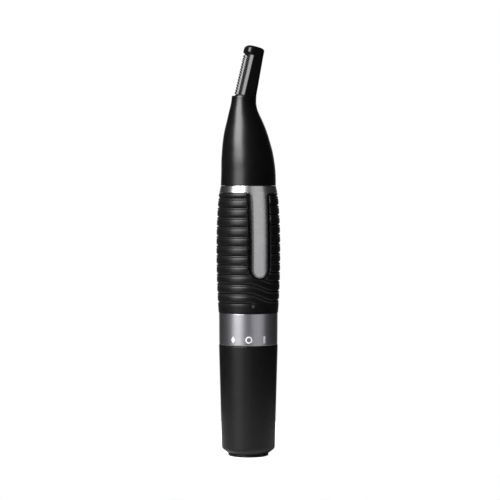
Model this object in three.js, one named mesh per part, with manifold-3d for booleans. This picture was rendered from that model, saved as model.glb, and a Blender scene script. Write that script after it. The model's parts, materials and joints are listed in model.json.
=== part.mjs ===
// Nose hair trimmer: a battery cover, a turning switch ring, a ribbed grip over a chassis tube with
// a small motor, and a pull-off head whose bent nozzle carries a reciprocating side cutter.
// Millimetres. +Z is up, z = 0 is the underside of the foot, the front is -Y and the nozzle bends to +X.
// Angles on the body are counted from the front towards +X.
import * as THREE from "three";
import { mergeVertices } from "three/addons/utils/BufferGeometryUtils.js";
import Module from "manifold-3d";

const wasm = await Module();
wasm.setup();

// Clearances
const runGap = 0.1; // between pieces that turn or slide on each other
const seatGap = 0.05; // between pieces that are fixed to each other
const cutGap = 0.3; // round a piece that passes through a cut in another

// Round pieces are faceted with these numbers of sides
const bigSides = 36;
const smallSides = 16;
const gripSides = 24;

// Battery cell
const cellRadius = 7.1;
const cellHeight = 50.5;
const cellCapRadius = 2.75;
const cellCapHeight = 1.1;
const cellPlay = 0.5;

// Motor
const motorRadius = 7.4;
const motorLength = 19.6;
const motorPlay = 0.2;
const canWall = 0.5;
const shaftRadius = 0.75;
const commutatorRadius = 1.9;
const bushRadius = 2.4;
const rearBushRadius = 1.6;
const crankThrow = 0.8;
const crankPinRadius = 0.5;

// Battery cover and foot
const coverLength = 37.35;
const coverFloor = 2.8;
const coverTaper = 1;
const coverChamfer = 1.6;
const footRadius = 6.7;
const footProud = 0.8;
const footRecess = 1.2;
const notchHalf = 0.6; // index notch in the cover's top edge, as deep as half its width
const contactThickness = 0.25;
const springHeight = 4.4;
const springWire = 0.3;
const springTurns = 4.5;

// Chassis tube; the steps are taken in from its outer radius
const chassisWall = 1.6;
const spigotLength = 6.4;
const spigotStep = 0.55;
const switchNeckStep = 0.85;
const bulkheadThickness = 2;
const socketDepth = 5.6;
const socketStep = 1.05;
const headNeckStep = 0.35;

// Cover joint: lugs, dogs and the switch ring
const switchTwist = 32;
const lugHalfWidth = 1.2;
const lugHeight = 1.5;
const dogHalfWidth = 1.5;
const dogHeight = 2.3;
const switchRingLift = 0.6;
const switchRingHeight = 6;
const stripHalfWidth = 1;
const sealSection = 0.3;
const sealGroove = 0.55;

// Lower metal ring and its marks
const ringHeight = 10.9;
const ringWall = 0.71;
const ringTaper = 0.08;
const ringReveal = 0.1;
const markHeight = 2.4;
const markLift = 0.9;
const markThickness = 0.1;
const offMarkAngle = -21;

// Rubber grip
const gripBulge = 1.74;
const gripBottomDrop = 0.8;
const gripTopDrop = 0.97;
const gripBand = 3.45;
const ribPitch = 3.26;
const grooveDepth = 0.45;
const grooveHalfWidth = 0.5;
const ribDrop = 2.56;
const ribDropStart = -25;
const ribDropEnd = 30;
const dotRadius = 0.55;
const dotRise = 2.1;

// Trim collar with its two tongues
const collarHeight = 2.65;
const collarBottomRadius = 0.75;
const collarTopRadius = 0.23;
const tongueHalfWidth = 2.97;
const tongueLength = 28.4;
const tongueChannel = 1.1;

// Head shell: height above the collar, radius less the collar's top radius, and shift of the centre
const headReveal = 0.2;
const headWall = 1.2;
const headSections = [
  [0, 0, 0],
  [4.8, -0.15, 0],
  [8.2, -0.35, -0.2],
  [11.6, -0.76, -0.42],
  [15, -1.38, -0.76],
  [18.5, -2.2, -1.05],
  [21.9, -3.3, -1.35],
  [25.3, -4.48, -1.77],
  [27.4, -5.02, -1.78],
  [28.8, -5.23, -1.66],
  [30.2, -5.31, -1.46],
];

// Nozzle: along is the direction of its axis, depth runs from the cutter face to the back
const nozzleTilt = 14;
const nozzleLength = 17.8;
const nozzleDepth = 6.2;
const nozzleTaper = 0.056;
const nozzleHalfWidth = 3.05;
const nozzleChamfer = 1.4;
const nozzleBackRadius = 1.5;
const nozzleWall = 0.85;
const hoodHeight = 3.4;
const hoodProud = 1.2;
const hoodRound = 1;
const faceSetBack = 2.58; // from the neck's centre to the cutter face, at the neck's top

// Cutter
const combHalfWidth = 0.8;
const combWall = 0.3;
const combProud = 1;
const toothPitch = 0.95;
const toothGap = 0.4;
const bladeHalfWidth = 0.36;
const rodHalfWidth = 1;
const rodFront = 2.2;
const rodBack = 3.6;
const rodReach = 17.8;

// Drive lever
const leverPinRadius = 0.6;
const leverHubRadius = 1.7;
const leverBallRadius = 0.7;
const forkLength = 5;
const prongThickness = 0.9;
const earInner = 2.3;
const earThickness = 1.2;

// Radii that follow
const bayRadius = cellRadius + cellPlay;
const motorBayRadius = motorRadius + motorPlay;
const chassisRadius = Math.max(bayRadius, motorBayRadius) + chassisWall;
const spigotRadius = chassisRadius - spigotStep;
const switchNeckRadius = chassisRadius - switchNeckStep;
const recessRadius = spigotRadius + 0.2;
const ringInner = chassisRadius + seatGap;
const ringTopRadius = ringInner + ringWall;
const ringBottomRadius = ringTopRadius - ringTaper;
const coverTopRadius = ringBottomRadius + 0.12;
const coverBottomRadius = coverTopRadius - coverTaper;
const switchRingInner = switchNeckRadius + runGap;
const switchRingOuter = ringInner - runGap;
const gripInner = chassisRadius + seatGap;
const gripPeak = chassisRadius + gripBulge;
const socketRadius = chassisRadius - socketStep;
const neckRadius = chassisRadius - headNeckStep;
const headRadius = chassisRadius + collarTopRadius;

// Heights that follow
const coverTop = footProud + coverLength;
const coverInside = footProud + coverFloor;
const padTop = coverInside + seatGap + contactThickness;
const cellBottom = padTop + springHeight;
const cellTop = cellBottom + cellHeight;
const bulkheadBottom = cellTop + 1.2;
const bulkheadTop = bulkheadBottom + bulkheadThickness;
const motorBottom = bulkheadTop + 2.4;
const motorTop = motorBottom + motorLength;
const spigotBottom = coverTop - spigotLength;
const switchRingBottom = coverTop + switchRingLift;
const switchRingTop = switchRingBottom + switchRingHeight;
const switchNeckTop = switchRingTop + 2;
const fingerTop = switchRingBottom + 1.9;
const coverSealHeight = coverTop - 1.1;
const ringBottom = coverTop + ringReveal;
const ringTop = ringBottom + ringHeight;
const collarBottom = motorTop + socketDepth;
const collarTop = collarBottom + collarHeight;
const gripTop = collarBottom - seatGap;
const headBottom = collarTop + headReveal;
const headSpigotBottom = collarBottom - 3;
const headSealHeight = headSpigotBottom + 1.4;
const socketBottom = headSpigotBottom - 0.4;
const crankHubBottom = motorTop + 2.6;
const crankHubTop = crankHubBottom + 3;
const crankPinTop = crankHubTop + 4;

// Nozzle frame: its origin lies on the cutter face at the top of the neck
const neckTopSection = headSections[headSections.length - 1];
const neckTop = headBottom + neckTopSection[0];
const neckTopRadius = headRadius + neckTopSection[1];
const neckTopShift = neckTopSection[2];
const plugRadius = neckTopRadius - 0.95;
const tilt = THREE.MathUtils.degToRad(nozzleTilt);
const nozzleFrame = new THREE.Matrix4()
  .makeTranslation(neckTopShift - faceSetBack, 0, neckTop + 0.35)
  .multiply(new THREE.Matrix4().makeRotationY(tilt));

// Lever: its upper arm stands square to the nozzle's axis and its ball rides in the carrier's jaw
const armTip = new THREE.Vector3((rodFront + rodBack) / 2, 0, -rodReach).applyMatrix4(nozzleFrame);
const armLength = -armTip.x / Math.cos(tilt);
const pivotHeight = armTip.z - armLength * Math.sin(tilt);
const forkReach = 2 * crankThrow + crankPinRadius + 0.15 + prongThickness;

// Geometry helpers -------------------------------------------------------------------------------

function toSolid(geometry) {
  const source = geometry.index ? geometry.toNonIndexed() : geometry;
  const bare = new THREE.BufferGeometry();
  bare.setAttribute("position", source.getAttribute("position"));
  const merged = mergeVertices(bare, 1e-4);
  const corners = merged.index.array;
  const kept = [];
  for (let i = 0; i < corners.length; i += 3) {
    const [a, b, c] = [corners[i], corners[i + 1], corners[i + 2]];
    if (a !== b && b !== c && c !== a) kept.push(a, b, c);
  }
  const vertProperties = merged.getAttribute("position").array;
  const make = (triVerts) => new wasm.Manifold(new wasm.Mesh({ numProp: 3, vertProperties, triVerts }));
  const solid = make(new Uint32Array(kept));
  return solid.volume() > 0 ? solid : make(new Uint32Array(kept.reverse()));
}

function toGeometry(solid) {
  const mesh = solid.getMesh();
  const positions = new Float32Array(mesh.numVert * 3);
  for (let i = 0; i < mesh.numVert; i += 1) {
    positions.set(mesh.vertProperties.subarray(i * mesh.numProp, i * mesh.numProp + 3), i * 3);
  }
  const geometry = new THREE.BufferGeometry();
  geometry.setAttribute("position", new THREE.BufferAttribute(positions, 3));
  geometry.setIndex(new THREE.BufferAttribute(mesh.triVerts, 1));
  geometry.computeVertexNormals();
  return geometry;
}

const join = (...parts) => toGeometry(parts.map(toSolid).reduce((sum, part) => sum.add(part)));
const cut = (body, ...tools) =>
  toGeometry(tools.map(toSolid).reduce((rest, tool) => rest.subtract(tool), toSolid(body)));
const common = (first, second) => toGeometry(toSolid(first).intersect(toSolid(second)));

// A turned solid from its outline of [radius, height] points, which ends on the axis or where it starts.
function lathe(outline, sides = bigSides) {
  const points = outline.map(([radius, height]) => new THREE.Vector2(radius, height));
  return toGeometry(toSolid(new THREE.LatheGeometry(points, sides).rotateX(Math.PI / 2)));
}

function tube(inner, outer, low, high, sides = bigSides) {
  return lathe([[inner, low], [outer, low], [outer, high], [inner, high], [inner, low]], sides);
}

function disc(radius, low, high, sides = smallSides) {
  return lathe([[0, low], [radius, low], [radius, high], [0, high]], sides);
}

function box(lowX, highX, lowY, highY, lowZ, highZ) {
  const geometry = new THREE.BoxGeometry(highX - lowX, highY - lowY, highZ - lowZ);
  return geometry.translate((lowX + highX) / 2, (lowY + highY) / 2, (lowZ + highZ) / 2);
}

const shapeOf = (points) => new THREE.Shape(points.map(([x, y]) => new THREE.Vector2(x, y)));

// An outline of [x, y] points, raised along Z.
function raised(points, low, high) {
  const settings = { depth: high - low, bevelEnabled: false };
  return toGeometry(toSolid(new THREE.ExtrudeGeometry(shapeOf(points), settings).translate(0, 0, low)));
}

// An outline of [x, z] points, raised along Y.
function acrossY(points, low, high) {
  return raised(points, -high, -low).rotateX(Math.PI / 2);
}

function arcPoints(centreX, centreY, radius, from, to, steps) {
  return Array.from({ length: steps + 1 }, (unused, i) => {
    const angle = THREE.MathUtils.degToRad(from + ((to - from) * i) / steps);
    return [centreX + radius * Math.cos(angle), centreY + radius * Math.sin(angle)];
  });
}

// A slot outline with a round lower end, centred on x = 0.
function roundedSlot(halfWidth, low, high) {
  return [[-halfWidth, high], ...arcPoints(0, low + halfWidth, halfWidth, 180, 360, 10), [halfWidth, high]];
}

// A wedge round the Z axis, centred on the front, that reaches past every radius of the body.
function frontWedge(halfAngle, low, high) {
  const rim = arcPoints(0, 0, 3 * chassisRadius, -90 - halfAngle, -90 + halfAngle, 6);
  return raised([[0, 0], ...rim], low, high);
}

const turned = (geometry, degrees) => geometry.clone().rotateZ(THREE.MathUtils.degToRad(degrees));

function moveEach(geometry, move) {
  const positions = geometry.getAttribute("position");
  const point = new THREE.Vector3();
  for (let i = 0; i < positions.count; i += 1) {
    move(point.fromBufferAttribute(positions, i));
    positions.setXYZ(i, point.x, point.y, point.z);
  }
  return geometry;
}

// Value at x on a line through [x, y] pairs in rising order.
function onLine(pairs, x) {
  const after = pairs.findIndex(([at]) => at > x);
  const next = after < 0 ? pairs.length - 1 : Math.max(1, after);
  const [[fromX, fromY], [toX, toY]] = [pairs[next - 1], pairs[next]];
  return fromY + ((toY - fromY) * (x - fromX)) / (toX - fromX);
}

const finishes = {
  blackPlastic: { color: 0x141414, roughness: 0.45, metalness: 0 },
  glossPlastic: { color: 0x0c0c0d, roughness: 0.18, metalness: 0 },
  whitePlastic: { color: 0xd8d8d4, roughness: 0.5, metalness: 0 },
  rubber: { color: 0x1b1b1c, roughness: 0.7, metalness: 0 },
  satinMetal: { color: 0xb9b9bd, roughness: 0.3, metalness: 0.9 },
  steel: { color: 0xc2c2c4, roughness: 0.25, metalness: 1 },
  brass: { color: 0xb08d4a, roughness: 0.35, metalness: 1 },
  copper: { color: 0xa4562f, roughness: 0.4, metalness: 1 },
  ferrite: { color: 0x2c2b2b, roughness: 0.8, metalness: 0 },
  cellWrap: { color: 0x3d5a73, roughness: 0.4, metalness: 0 },
  paint: { color: 0xf2f2f2, roughness: 0.4, metalness: 0 },
};

function piece(name, geometry, finish) {
  const mesh = new THREE.Mesh(geometry, new THREE.MeshStandardMaterial(finishes[finish]));
  mesh.name = name;
  return mesh;
}

function groupOf(...members) {
  const group = new THREE.Group();
  group.add(...members);
  return group;
}

// Battery cover ----------------------------------------------------------------------------------

function batteryCover() {
  const outside = [
    [0, footProud + footRecess],
    [footRadius + cutGap, footProud + footRecess],
    [footRadius + cutGap, footProud],
    [coverBottomRadius - coverChamfer - 0.35, footProud],
    [coverBottomRadius - 0.35, footProud + coverChamfer - 0.1],
    [coverBottomRadius - 0.07, footProud + coverChamfer + 0.25],
    [coverBottomRadius, footProud + coverChamfer + 0.6],
    [coverTopRadius - 0.02, coverTop - 0.3],
    [coverTopRadius - 0.2, coverTop],
  ];
  const inside = [
    [recessRadius, coverTop],
    [recessRadius, spigotBottom - 0.4],
    [bayRadius, spigotBottom - 0.4],
    [bayRadius, coverInside],
    [0, coverInside],
  ];
  const lugTop = coverTop - 2.4;
  const lug = common(
    tube(bayRadius + 0.35, recessRadius + 0.1, lugTop - lugHeight, lugTop),
    box(-lugHalfWidth, lugHalfWidth, -coverTopRadius, 0, 0, coverTop),
  );
  const dog = common(
    tube(switchRingInner, switchRingOuter - 0.05, coverTop - 0.3, coverTop + dogHeight),
    box(-dogHalfWidth, dogHalfWidth, -coverTopRadius, 0, 0, coverTop + dogHeight),
  );
  const grooveHalf = stripHalfWidth + cutGap;
  const across = [-grooveHalf, grooveHalf];
  const fingerGrooveBottom = spigotBottom - 1.7;
  const stripGroove = box(bayRadius - 1, bayRadius + 0.5, ...across, coverInside, spigotBottom);
  const fingerGroove = box(bayRadius - 1, recessRadius + 0.45, ...across, fingerGrooveBottom, coverTop + 1);
  const notchDeep = [-coverTopRadius - 1, -coverTopRadius + 0.5];
  const indexNotch = box(-notchHalf, notchHalf, ...notchDeep, coverTop - notchHalf, coverTop + 1);
  const shell = cut(
    lathe([...outside, ...inside]),
    stripGroove,
    fingerGroove,
    turned(indexNotch, offMarkAngle),
  );
  return join(shell, lug, turned(lug, 180), dog, turned(dog, 180));
}

function baseFoot() {
  const footTop = footProud + footRecess - seatGap;
  return lathe([[0, 0], [footRadius - 0.25, 0], [footRadius, 0.25], [footRadius, footTop], [0, footTop]]);
}

// One strip: a pad under the spring, a leg up the bore, a jog, and a finger that meets the wiper.
function coverContact() {
  const low = coverInside + seatGap;
  const legOut = bayRadius + 0.3;
  const jog = spigotBottom - 1.3;
  const fingerOut = recessRadius + 0.25;
  const strip = acrossY(
    [
      [0, low],
      [legOut, low],
      [legOut, jog],
      [fingerOut, jog],
      [fingerOut, fingerTop],
      [fingerOut - contactThickness, fingerTop],
      [fingerOut - contactThickness, jog + contactThickness],
      [legOut - contactThickness, jog + contactThickness],
      [legOut - contactThickness, padTop],
      [0, padTop],
    ],
    -stripHalfWidth,
    stripHalfWidth,
  );
  return join(strip, disc(4.6, low, padTop));
}

function cellSpring() {
  const low = padTop + seatGap + springWire;
  const high = cellBottom - seatGap - springWire;
  const steps = springTurns * 8;
  const turnsPoints = Array.from({ length: steps + 1 }, (unused, i) => {
    const share = i / steps;
    const angle = 2 * Math.PI * springTurns * share;
    const radius = 4.1 - 1.3 * share;
    const height = low + (high - low) * share;
    return new THREE.Vector3(radius * Math.cos(angle), radius * Math.sin(angle), height);
  });
  const path = new THREE.CatmullRomCurve3(turnsPoints);
  const wire = shapeOf(arcPoints(0, 0, springWire, 0, 300, 5));
  return toGeometry(toSolid(new THREE.ExtrudeGeometry(wire, { steps, extrudePath: path })));
}

function cellCan() {
  const top = cellTop - cellCapHeight;
  return lathe(
    [
      [0, cellBottom],
      [cellRadius - 0.6, cellBottom],
      [cellRadius, cellBottom + 0.6],
      [cellRadius, top - 0.8],
      [cellRadius - 0.8, top],
      [0, top],
    ],
    24,
  );
}

function cellCap() {
  const low = cellTop - cellCapHeight;
  const rim = [[cellCapRadius, low], [cellCapRadius, cellTop - 0.2], [cellCapRadius - 0.3, cellTop]];
  return lathe([[0, low], ...rim, [0, cellTop]], 12);
}

const coverGroup = groupOf(
  piece("battery_cover", batteryCover(), "blackPlastic"),
  piece("base_foot", baseFoot(), "blackPlastic"),
  piece("cover_contact", coverContact(), "brass"),
  piece("cell_spring", cellSpring(), "steel"),
  piece("cell_can", cellCan(), "cellWrap"),
  piece("cell_cap", cellCap(), "steel"),
);

// Switch ring: keyed to the cover's dogs, free to turn on the chassis --------------------------------

function switchRing() {
  const dogSlot = box(
    -dogHalfWidth - 0.15,
    dogHalfWidth + 0.15,
    -coverTopRadius,
    0,
    switchRingBottom - 1,
    coverTop + dogHeight + cutGap,
  );
  const wiperHalf = stripHalfWidth + cutGap;
  const fingerSlot = box(0, coverTopRadius, -wiperHalf, wiperHalf, switchRingBottom - 1, fingerTop);
  const pocketAcross = [-wiperHalf, wiperHalf];
  const pocketUp = [fingerTop - 0.5, switchRingTop + 1];
  const wiperPocket = box(switchRingOuter - 0.4, coverTopRadius, ...pocketAcross, ...pocketUp);
  return cut(
    tube(switchRingInner, switchRingOuter, switchRingBottom, switchRingTop),
    dogSlot,
    turned(dogSlot, 180),
    fingerSlot,
    wiperPocket,
  );
}

function wiperContact() {
  const inner = switchRingOuter - 0.4 + seatGap;
  const across = [-stripHalfWidth, stripHalfWidth];
  return box(inner, inner + contactThickness, ...across, fingerTop + seatGap, switchNeckTop - 0.4);
}

const switchGroup = groupOf(
  piece("switch_ring", switchRing(), "whitePlastic"),
  piece("wiper_contact", wiperContact(), "brass"),
);

// Chassis tube -----------------------------------------------------------------------------------

function negativeGroove() {
  const half = stripHalfWidth + cutGap;
  return join(
    box(switchNeckRadius, coverTopRadius, -half, half, switchNeckTop - 0.1, bulkheadTop + 1.6),
    box(motorBayRadius - 1, coverTopRadius, -half, half, bulkheadTop + 0.4, bulkheadTop + 1.6),
  );
}

function chassisTube() {
  const sealTop = coverSealHeight + sealSection + 0.1;
  const sealBottom = coverSealHeight - sealSection - 0.1;
  const body = lathe([
    [spigotRadius, spigotBottom],
    [spigotRadius, sealBottom],
    [spigotRadius - sealGroove, sealBottom],
    [spigotRadius - sealGroove, sealTop],
    [spigotRadius, sealTop],
    [spigotRadius, coverTop - 0.4],
    [switchNeckRadius, coverTop - 0.4],
    [switchNeckRadius, switchNeckTop],
    [chassisRadius, switchNeckTop],
    [chassisRadius, collarBottom - 0.2],
    [neckRadius, collarBottom - 0.2],
    [neckRadius, collarTop - 0.25],
    [socketRadius, collarTop - 0.25],
    [socketRadius, socketBottom],
    [motorBayRadius, socketBottom],
    [motorBayRadius, bulkheadTop],
    [1.3, bulkheadTop],
    [1.3, bulkheadBottom],
    [bayRadius, bulkheadBottom],
    [bayRadius, spigotBottom],
    [spigotRadius, spigotBottom],
  ]);
  const lugTop = coverTop - 2.4;
  const lugAngle = THREE.MathUtils.radToDeg(lugHalfWidth / bayRadius);
  const twistSlot = frontWedge(switchTwist + lugAngle + 1, spigotBottom - 1, lugTop + cutGap);
  return cut(body, twistSlot, turned(twistSlot, 180), turned(negativeGroove(), switchTwist));
}

// An O-ring in the groove of a spigot.
function sealRing(spigot, height) {
  return lathe(arcPoints(spigot - sealGroove + sealSection + 0.01, height, sealSection, 0, 360, 5));
}

// The fixed negative lead: a pad beside the wiper, a leg up the chassis, and an arm to the motor.
function negativeStrip() {
  const padIn = switchNeckRadius + seatGap;
  const legIn = padIn + 0.1;
  const arm = bulkheadTop + 0.7;
  return acrossY(
    [
      [padIn, switchRingTop + 0.4],
      [padIn + contactThickness, switchRingTop + 0.4],
      [padIn + contactThickness, switchNeckTop + 0.4],
      [legIn + contactThickness, switchNeckTop + 0.4],
      [legIn + contactThickness, arm + contactThickness],
      [terminalOut + 0.1, arm + contactThickness],
      [terminalOut + 0.1, arm],
      [legIn, arm],
      [legIn, switchNeckTop + 0.7],
      [padIn, switchNeckTop + 0.7],
    ],
    -stripHalfWidth,
    stripHalfWidth,
  );
}

// Lower ring and marks ---------------------------------------------------------------------------

function lowerRing() {
  return lathe([
    [ringInner, ringBottom],
    [ringBottomRadius - 0.15, ringBottom],
    [ringBottomRadius, ringBottom + 0.2],
    [ringTopRadius, ringTop - 0.2],
    [ringTopRadius - 0.15, ringTop],
    [ringInner, ringTop],
    [ringInner, ringBottom],
  ]);
}

// A mark is an outline at the front, thinned to a film just outside the ring and turned into place.
function markFilm(outline, holes = []) {
  const shape = shapeOf(outline);
  shape.holes = holes.map((points) => shapeOf(points));
  const centre = ringBottom + markLift + markHeight / 2;
  const prism = new THREE.ExtrudeGeometry(shape, { depth: 3, bevelEnabled: false });
  prism.rotateX(Math.PI / 2).translate(0, 2 - ringBottomRadius, centre);
  const inner = ringTopRadius - 0.04;
  const film = tube(inner, inner + markThickness, ringBottom, ringTop, 2 * bigSides);
  return common(toGeometry(toSolid(prism)), film);
}

function ringMarks() {
  const half = markHeight / 2;
  const lozenge = markFilm([[0, -half], [0.8, 0], [0, half], [-0.8, 0]]);
  const circle = markFilm(arcPoints(0, 0, half, 0, 345, 23), [arcPoints(0, 0, half - 0.45, 0, 340, 17)]);
  const bar = markFilm([[-0.35, -half], [0.35, -half], [0.35, half], [-0.35, half]]);
  return [
    piece("mark_open", turned(lozenge, offMarkAngle - switchTwist), "paint"),
    piece("mark_off", turned(circle, offMarkAngle), "paint"),
    piece("mark_on", turned(bar, offMarkAngle + switchTwist), "paint"),
  ];
}

// Rubber grip ------------------------------------------------------------------------------------

const gripMiddle = ringTop + 0.53 * (gripTop - ringTop);

// Radius of the rib crests at a height: a shallow barrel.
function crestRadius(height) {
  const below = height < gripMiddle;
  const end = below ? ringTop : gripTop;
  const share = (height - gripMiddle) / (end - gripMiddle);
  return gripPeak - (below ? gripBottomDrop : gripTopDrop) * Math.abs(share) ** 2.2;
}

function crestLine(low, high, steps) {
  return Array.from({ length: steps + 1 }, (unused, i) => {
    const height = low + ((high - low) * i) / steps;
    return [crestRadius(height), height];
  });
}

// How far the ribs have dropped at an angle from the front: they step down from the left half to the right.
function ribDropAt(degrees) {
  const mirrored = Math.abs(degrees) > 90 ? Math.sign(degrees) * 180 - degrees : degrees;
  return ribDrop * THREE.MathUtils.smoothstep(mirrored, ribDropStart, ribDropEnd);
}

function grooveRing(height) {
  const crest = crestRadius(height);
  const lower = height - grooveHalfWidth * 1.6;
  const upper = height + grooveHalfWidth;
  const outline = [[crest + 0.4, lower], [crest - grooveDepth, height], [crest + 0.4, upper]];
  const ring = lathe([...outline, outline[0]], gripSides);
  return moveEach(ring, (point) => {
    const dropped = point.z - ribDropAt(THREE.MathUtils.radToDeg(Math.atan2(point.x, -point.y)));
    const radius = Math.hypot(point.x, point.y);
    const scale = (radius + crestRadius(dropped) - crestRadius(point.z)) / radius;
    point.set(point.x * scale, point.y * scale, dropped);
  });
}

function rubberGrip() {
  const barrel = lathe([[0, ringTop], ...crestLine(ringTop, gripTop, 6), [0, gripTop]], gripSides);
  const grooves = [];
  for (let height = ringTop + gripBand; height < gripTop + ribDrop; height += ribPitch) {
    grooves.push(grooveRing(height));
  }
  const ribbed = tube(gripInner, gripPeak + 1, ringTop + gripBand - 0.4, gripTop - 0.6);
  const windowBottom = collarBottom - tongueLength - 0.4;
  const window = roundedSlot(tongueHalfWidth + tongueChannel, windowBottom, gripTop + 1);
  return cut(
    barrel,
    disc(gripInner, ringTop - 1, gripTop + 1, bigSides),
    common(join(...grooves), ribbed),
    acrossY(window, -gripPeak - 1, 0),
    acrossY(window, 0, gripPeak + 1),
  );
}

function gripDot() {
  const height = ringTop + dotRise;
  const radius = crestRadius(height);
  const pip = disc(dotRadius, 0, 0.2, 12).rotateX(Math.PI / 2).translate(0, -radius - 0.02, height);
  return turned(pip, -14);
}

// Trim collar ------------------------------------------------------------------------------------

function trimCollar() {
  const ring = lathe([
    [neckRadius + seatGap, collarBottom],
    [chassisRadius + collarBottomRadius, collarBottom],
    [headRadius, collarTop],
    [neckRadius + seatGap, collarTop],
    [neckRadius + seatGap, collarBottom],
  ]);
  const tongueTop = collarBottom + 0.4;
  const skin = lathe([
    [gripInner + 0.05, collarBottom - tongueLength - 1],
    ...crestLine(collarBottom - tongueLength - 1, gripTop - 1, 6),
    [chassisRadius + collarBottomRadius, collarBottom],
    [chassisRadius + collarBottomRadius - 0.1, tongueTop],
    [gripInner + 0.05, tongueTop],
    [gripInner + 0.05, collarBottom - tongueLength - 1],
  ]);
  const outline = roundedSlot(tongueHalfWidth, collarBottom - tongueLength, tongueTop + 1);
  return join(
    ring,
    common(skin, acrossY(outline, -gripPeak - 1, 0)),
    common(skin, acrossY(outline, 0, gripPeak + 1)),
  );
}

// Motor ------------------------------------------------------------------------------------------

const canInner = motorRadius - canWall;
const terminalOut = 3.9;
const terminalIn = terminalOut - 0.4;
const commutatorBottom = motorBottom + 2.5;
const commutatorTop = commutatorBottom + 1.8;
const coreBottom = motorBottom + 5.6;
const coreTop = motorTop - 4.8;

function motorCan() {
  return lathe(
    [
      [motorRadius, motorBottom + 0.8],
      [motorRadius, motorTop - 0.4],
      [motorRadius - 0.4, motorTop],
      [bushRadius + seatGap, motorTop],
      [bushRadius + seatGap, motorTop - 0.8],
      [canInner, motorTop - 0.8],
      [canInner, motorBottom + 0.8],
      [motorRadius, motorBottom + 0.8],
    ],
    24,
  );
}

function motorEndCap() {
  const cap = tube(1.7, canInner - seatGap, motorBottom, motorBottom + 2, 24);
  const slot = box(terminalIn - cutGap, terminalOut + cutGap, -1.3, 1.3, motorBottom - 1, motorBottom + 3);
  return cut(cap, slot, turned(slot, 180));
}

function magnet(side) {
  const ring = tube(5.7, canInner - seatGap, coreBottom - 1, coreTop + 1, 24);
  const half = box(2.4, motorRadius, -motorRadius, motorRadius, motorBottom, motorTop);
  return turned(common(ring, half), side);
}

function brush(side) {
  const low = commutatorBottom + 0.4;
  return turned(box(commutatorRadius + 0.06, terminalIn - seatGap, -0.6, 0.6, low, low + 1), side);
}

function terminal(side) {
  return turned(box(terminalIn, terminalOut, -1, 1, bulkheadTop + 0.55, commutatorTop - 0.2), side);
}

// The rivet under the bulkhead, its stem, and a tab to the left terminal.
function positiveContact() {
  const rivetTop = bulkheadTop + 0.1;
  const head = disc(2.4, cellTop + seatGap, cellTop + 0.75, 12);
  const stem = disc(1.2, cellTop + 0.5, rivetTop + 0.3, 12);
  return join(head, stem, box(-terminalOut - 0.5, 0, -0.9, 0.9, rivetTop, rivetTop + 0.3));
}

function splashSeal() {
  return tube(bushRadius + seatGap, motorBayRadius - seatGap, motorTop + 0.1, motorTop + 0.8, 24);
}

function bush(radius, low, high) {
  return tube(shaftRadius + seatGap, radius, low, high, smallSides);
}

const motorGroup = groupOf(
  piece("motor_can", motorCan(), "steel"),
  piece("motor_end_cap", motorEndCap(), "whitePlastic"),
  piece("magnet_right", magnet(0), "ferrite"),
  piece("magnet_left", magnet(180), "ferrite"),
  piece("brush_right", brush(0), "ferrite"),
  piece("brush_left", brush(180), "ferrite"),
  piece("terminal_right", terminal(0), "brass"),
  piece("terminal_left", terminal(180), "brass"),
  piece("front_bush", bush(bushRadius, motorTop - 1.5, motorTop + 1.2), "brass"),
  piece("rear_bush", bush(rearBushRadius, motorBottom + 0.2, motorBottom + 1.8), "brass"),
  piece("splash_seal", splashSeal(), "rubber"),
  piece("positive_contact", positiveContact(), "brass"),
  piece("negative_strip", negativeStrip(), "brass"),
);
motorGroup.rotation.z = THREE.MathUtils.degToRad(switchTwist);

const bodyGroup = groupOf(
  piece("chassis_tube", chassisTube(), "blackPlastic"),
  piece("cover_seal", sealRing(spigotRadius, coverSealHeight), "rubber"),
  piece("lower_ring", lowerRing(), "satinMetal"),
  ...ringMarks(),
  piece("rubber_grip", rubberGrip(), "rubber"),
  piece("grip_dot", gripDot(), "paint"),
  piece("trim_collar", trimCollar(), "satinMetal"),
  motorGroup,
);

// Rotor ------------------------------------------------------------------------------------------

function armatureCore() {
  const hub = tube(shaftRadius + 0.03, 1.9, coreBottom, coreTop, smallSides);
  const rim = tube(4.3, 5.4, coreBottom, coreTop, 24);
  const gap = box(3, 7, -0.6, 0.6, coreBottom - 1, coreTop + 1);
  const neck = box(1.5, 4.7, -0.8, 0.8, coreBottom, coreTop);
  const shoes = cut(rim, turned(gap, 60), turned(gap, 180), turned(gap, 300));
  return join(hub, shoes, neck, turned(neck, 120), turned(neck, 240));
}

function armatureCoils() {
  const winding = tube(2.1, 4.1, coreBottom - 1, coreTop + 1, 24);
  const gap = box(1, 6, -1, 1, coreBottom - 0.15, coreTop + 0.15);
  return cut(winding, gap, turned(gap, 120), turned(gap, 240));
}

function crankHub() {
  const bore = disc(shaftRadius + 0.03, crankHubBottom - 1, crankHubTop - 0.8);
  const hub = cut(disc(2.3, crankHubBottom, crankHubTop), bore);
  const pin = disc(crankPinRadius, crankHubTop - 0.4, crankPinTop, 12).translate(0, crankThrow, 0);
  return join(hub, pin);
}

function commutator() {
  return tube(shaftRadius + 0.03, commutatorRadius, commutatorBottom, commutatorTop, smallSides);
}

const rotorGroup = groupOf(
  piece("motor_shaft", disc(shaftRadius, motorBottom + 0.4, crankHubTop - 0.85), "steel"),
  piece("armature_core", armatureCore(), "steel"),
  piece("armature_coils", armatureCoils(), "copper"),
  piece("commutator", commutator(), "copper"),
  piece("crank_hub", crankHub(), "whitePlastic"),
);

// Head -------------------------------------------------------------------------------------------

const headShift = (height) => onLine(headSections.map(([at, , shift]) => [at, shift]), height - headBottom);
const placed = (geometry) => geometry.applyMatrix4(nozzleFrame);

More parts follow.
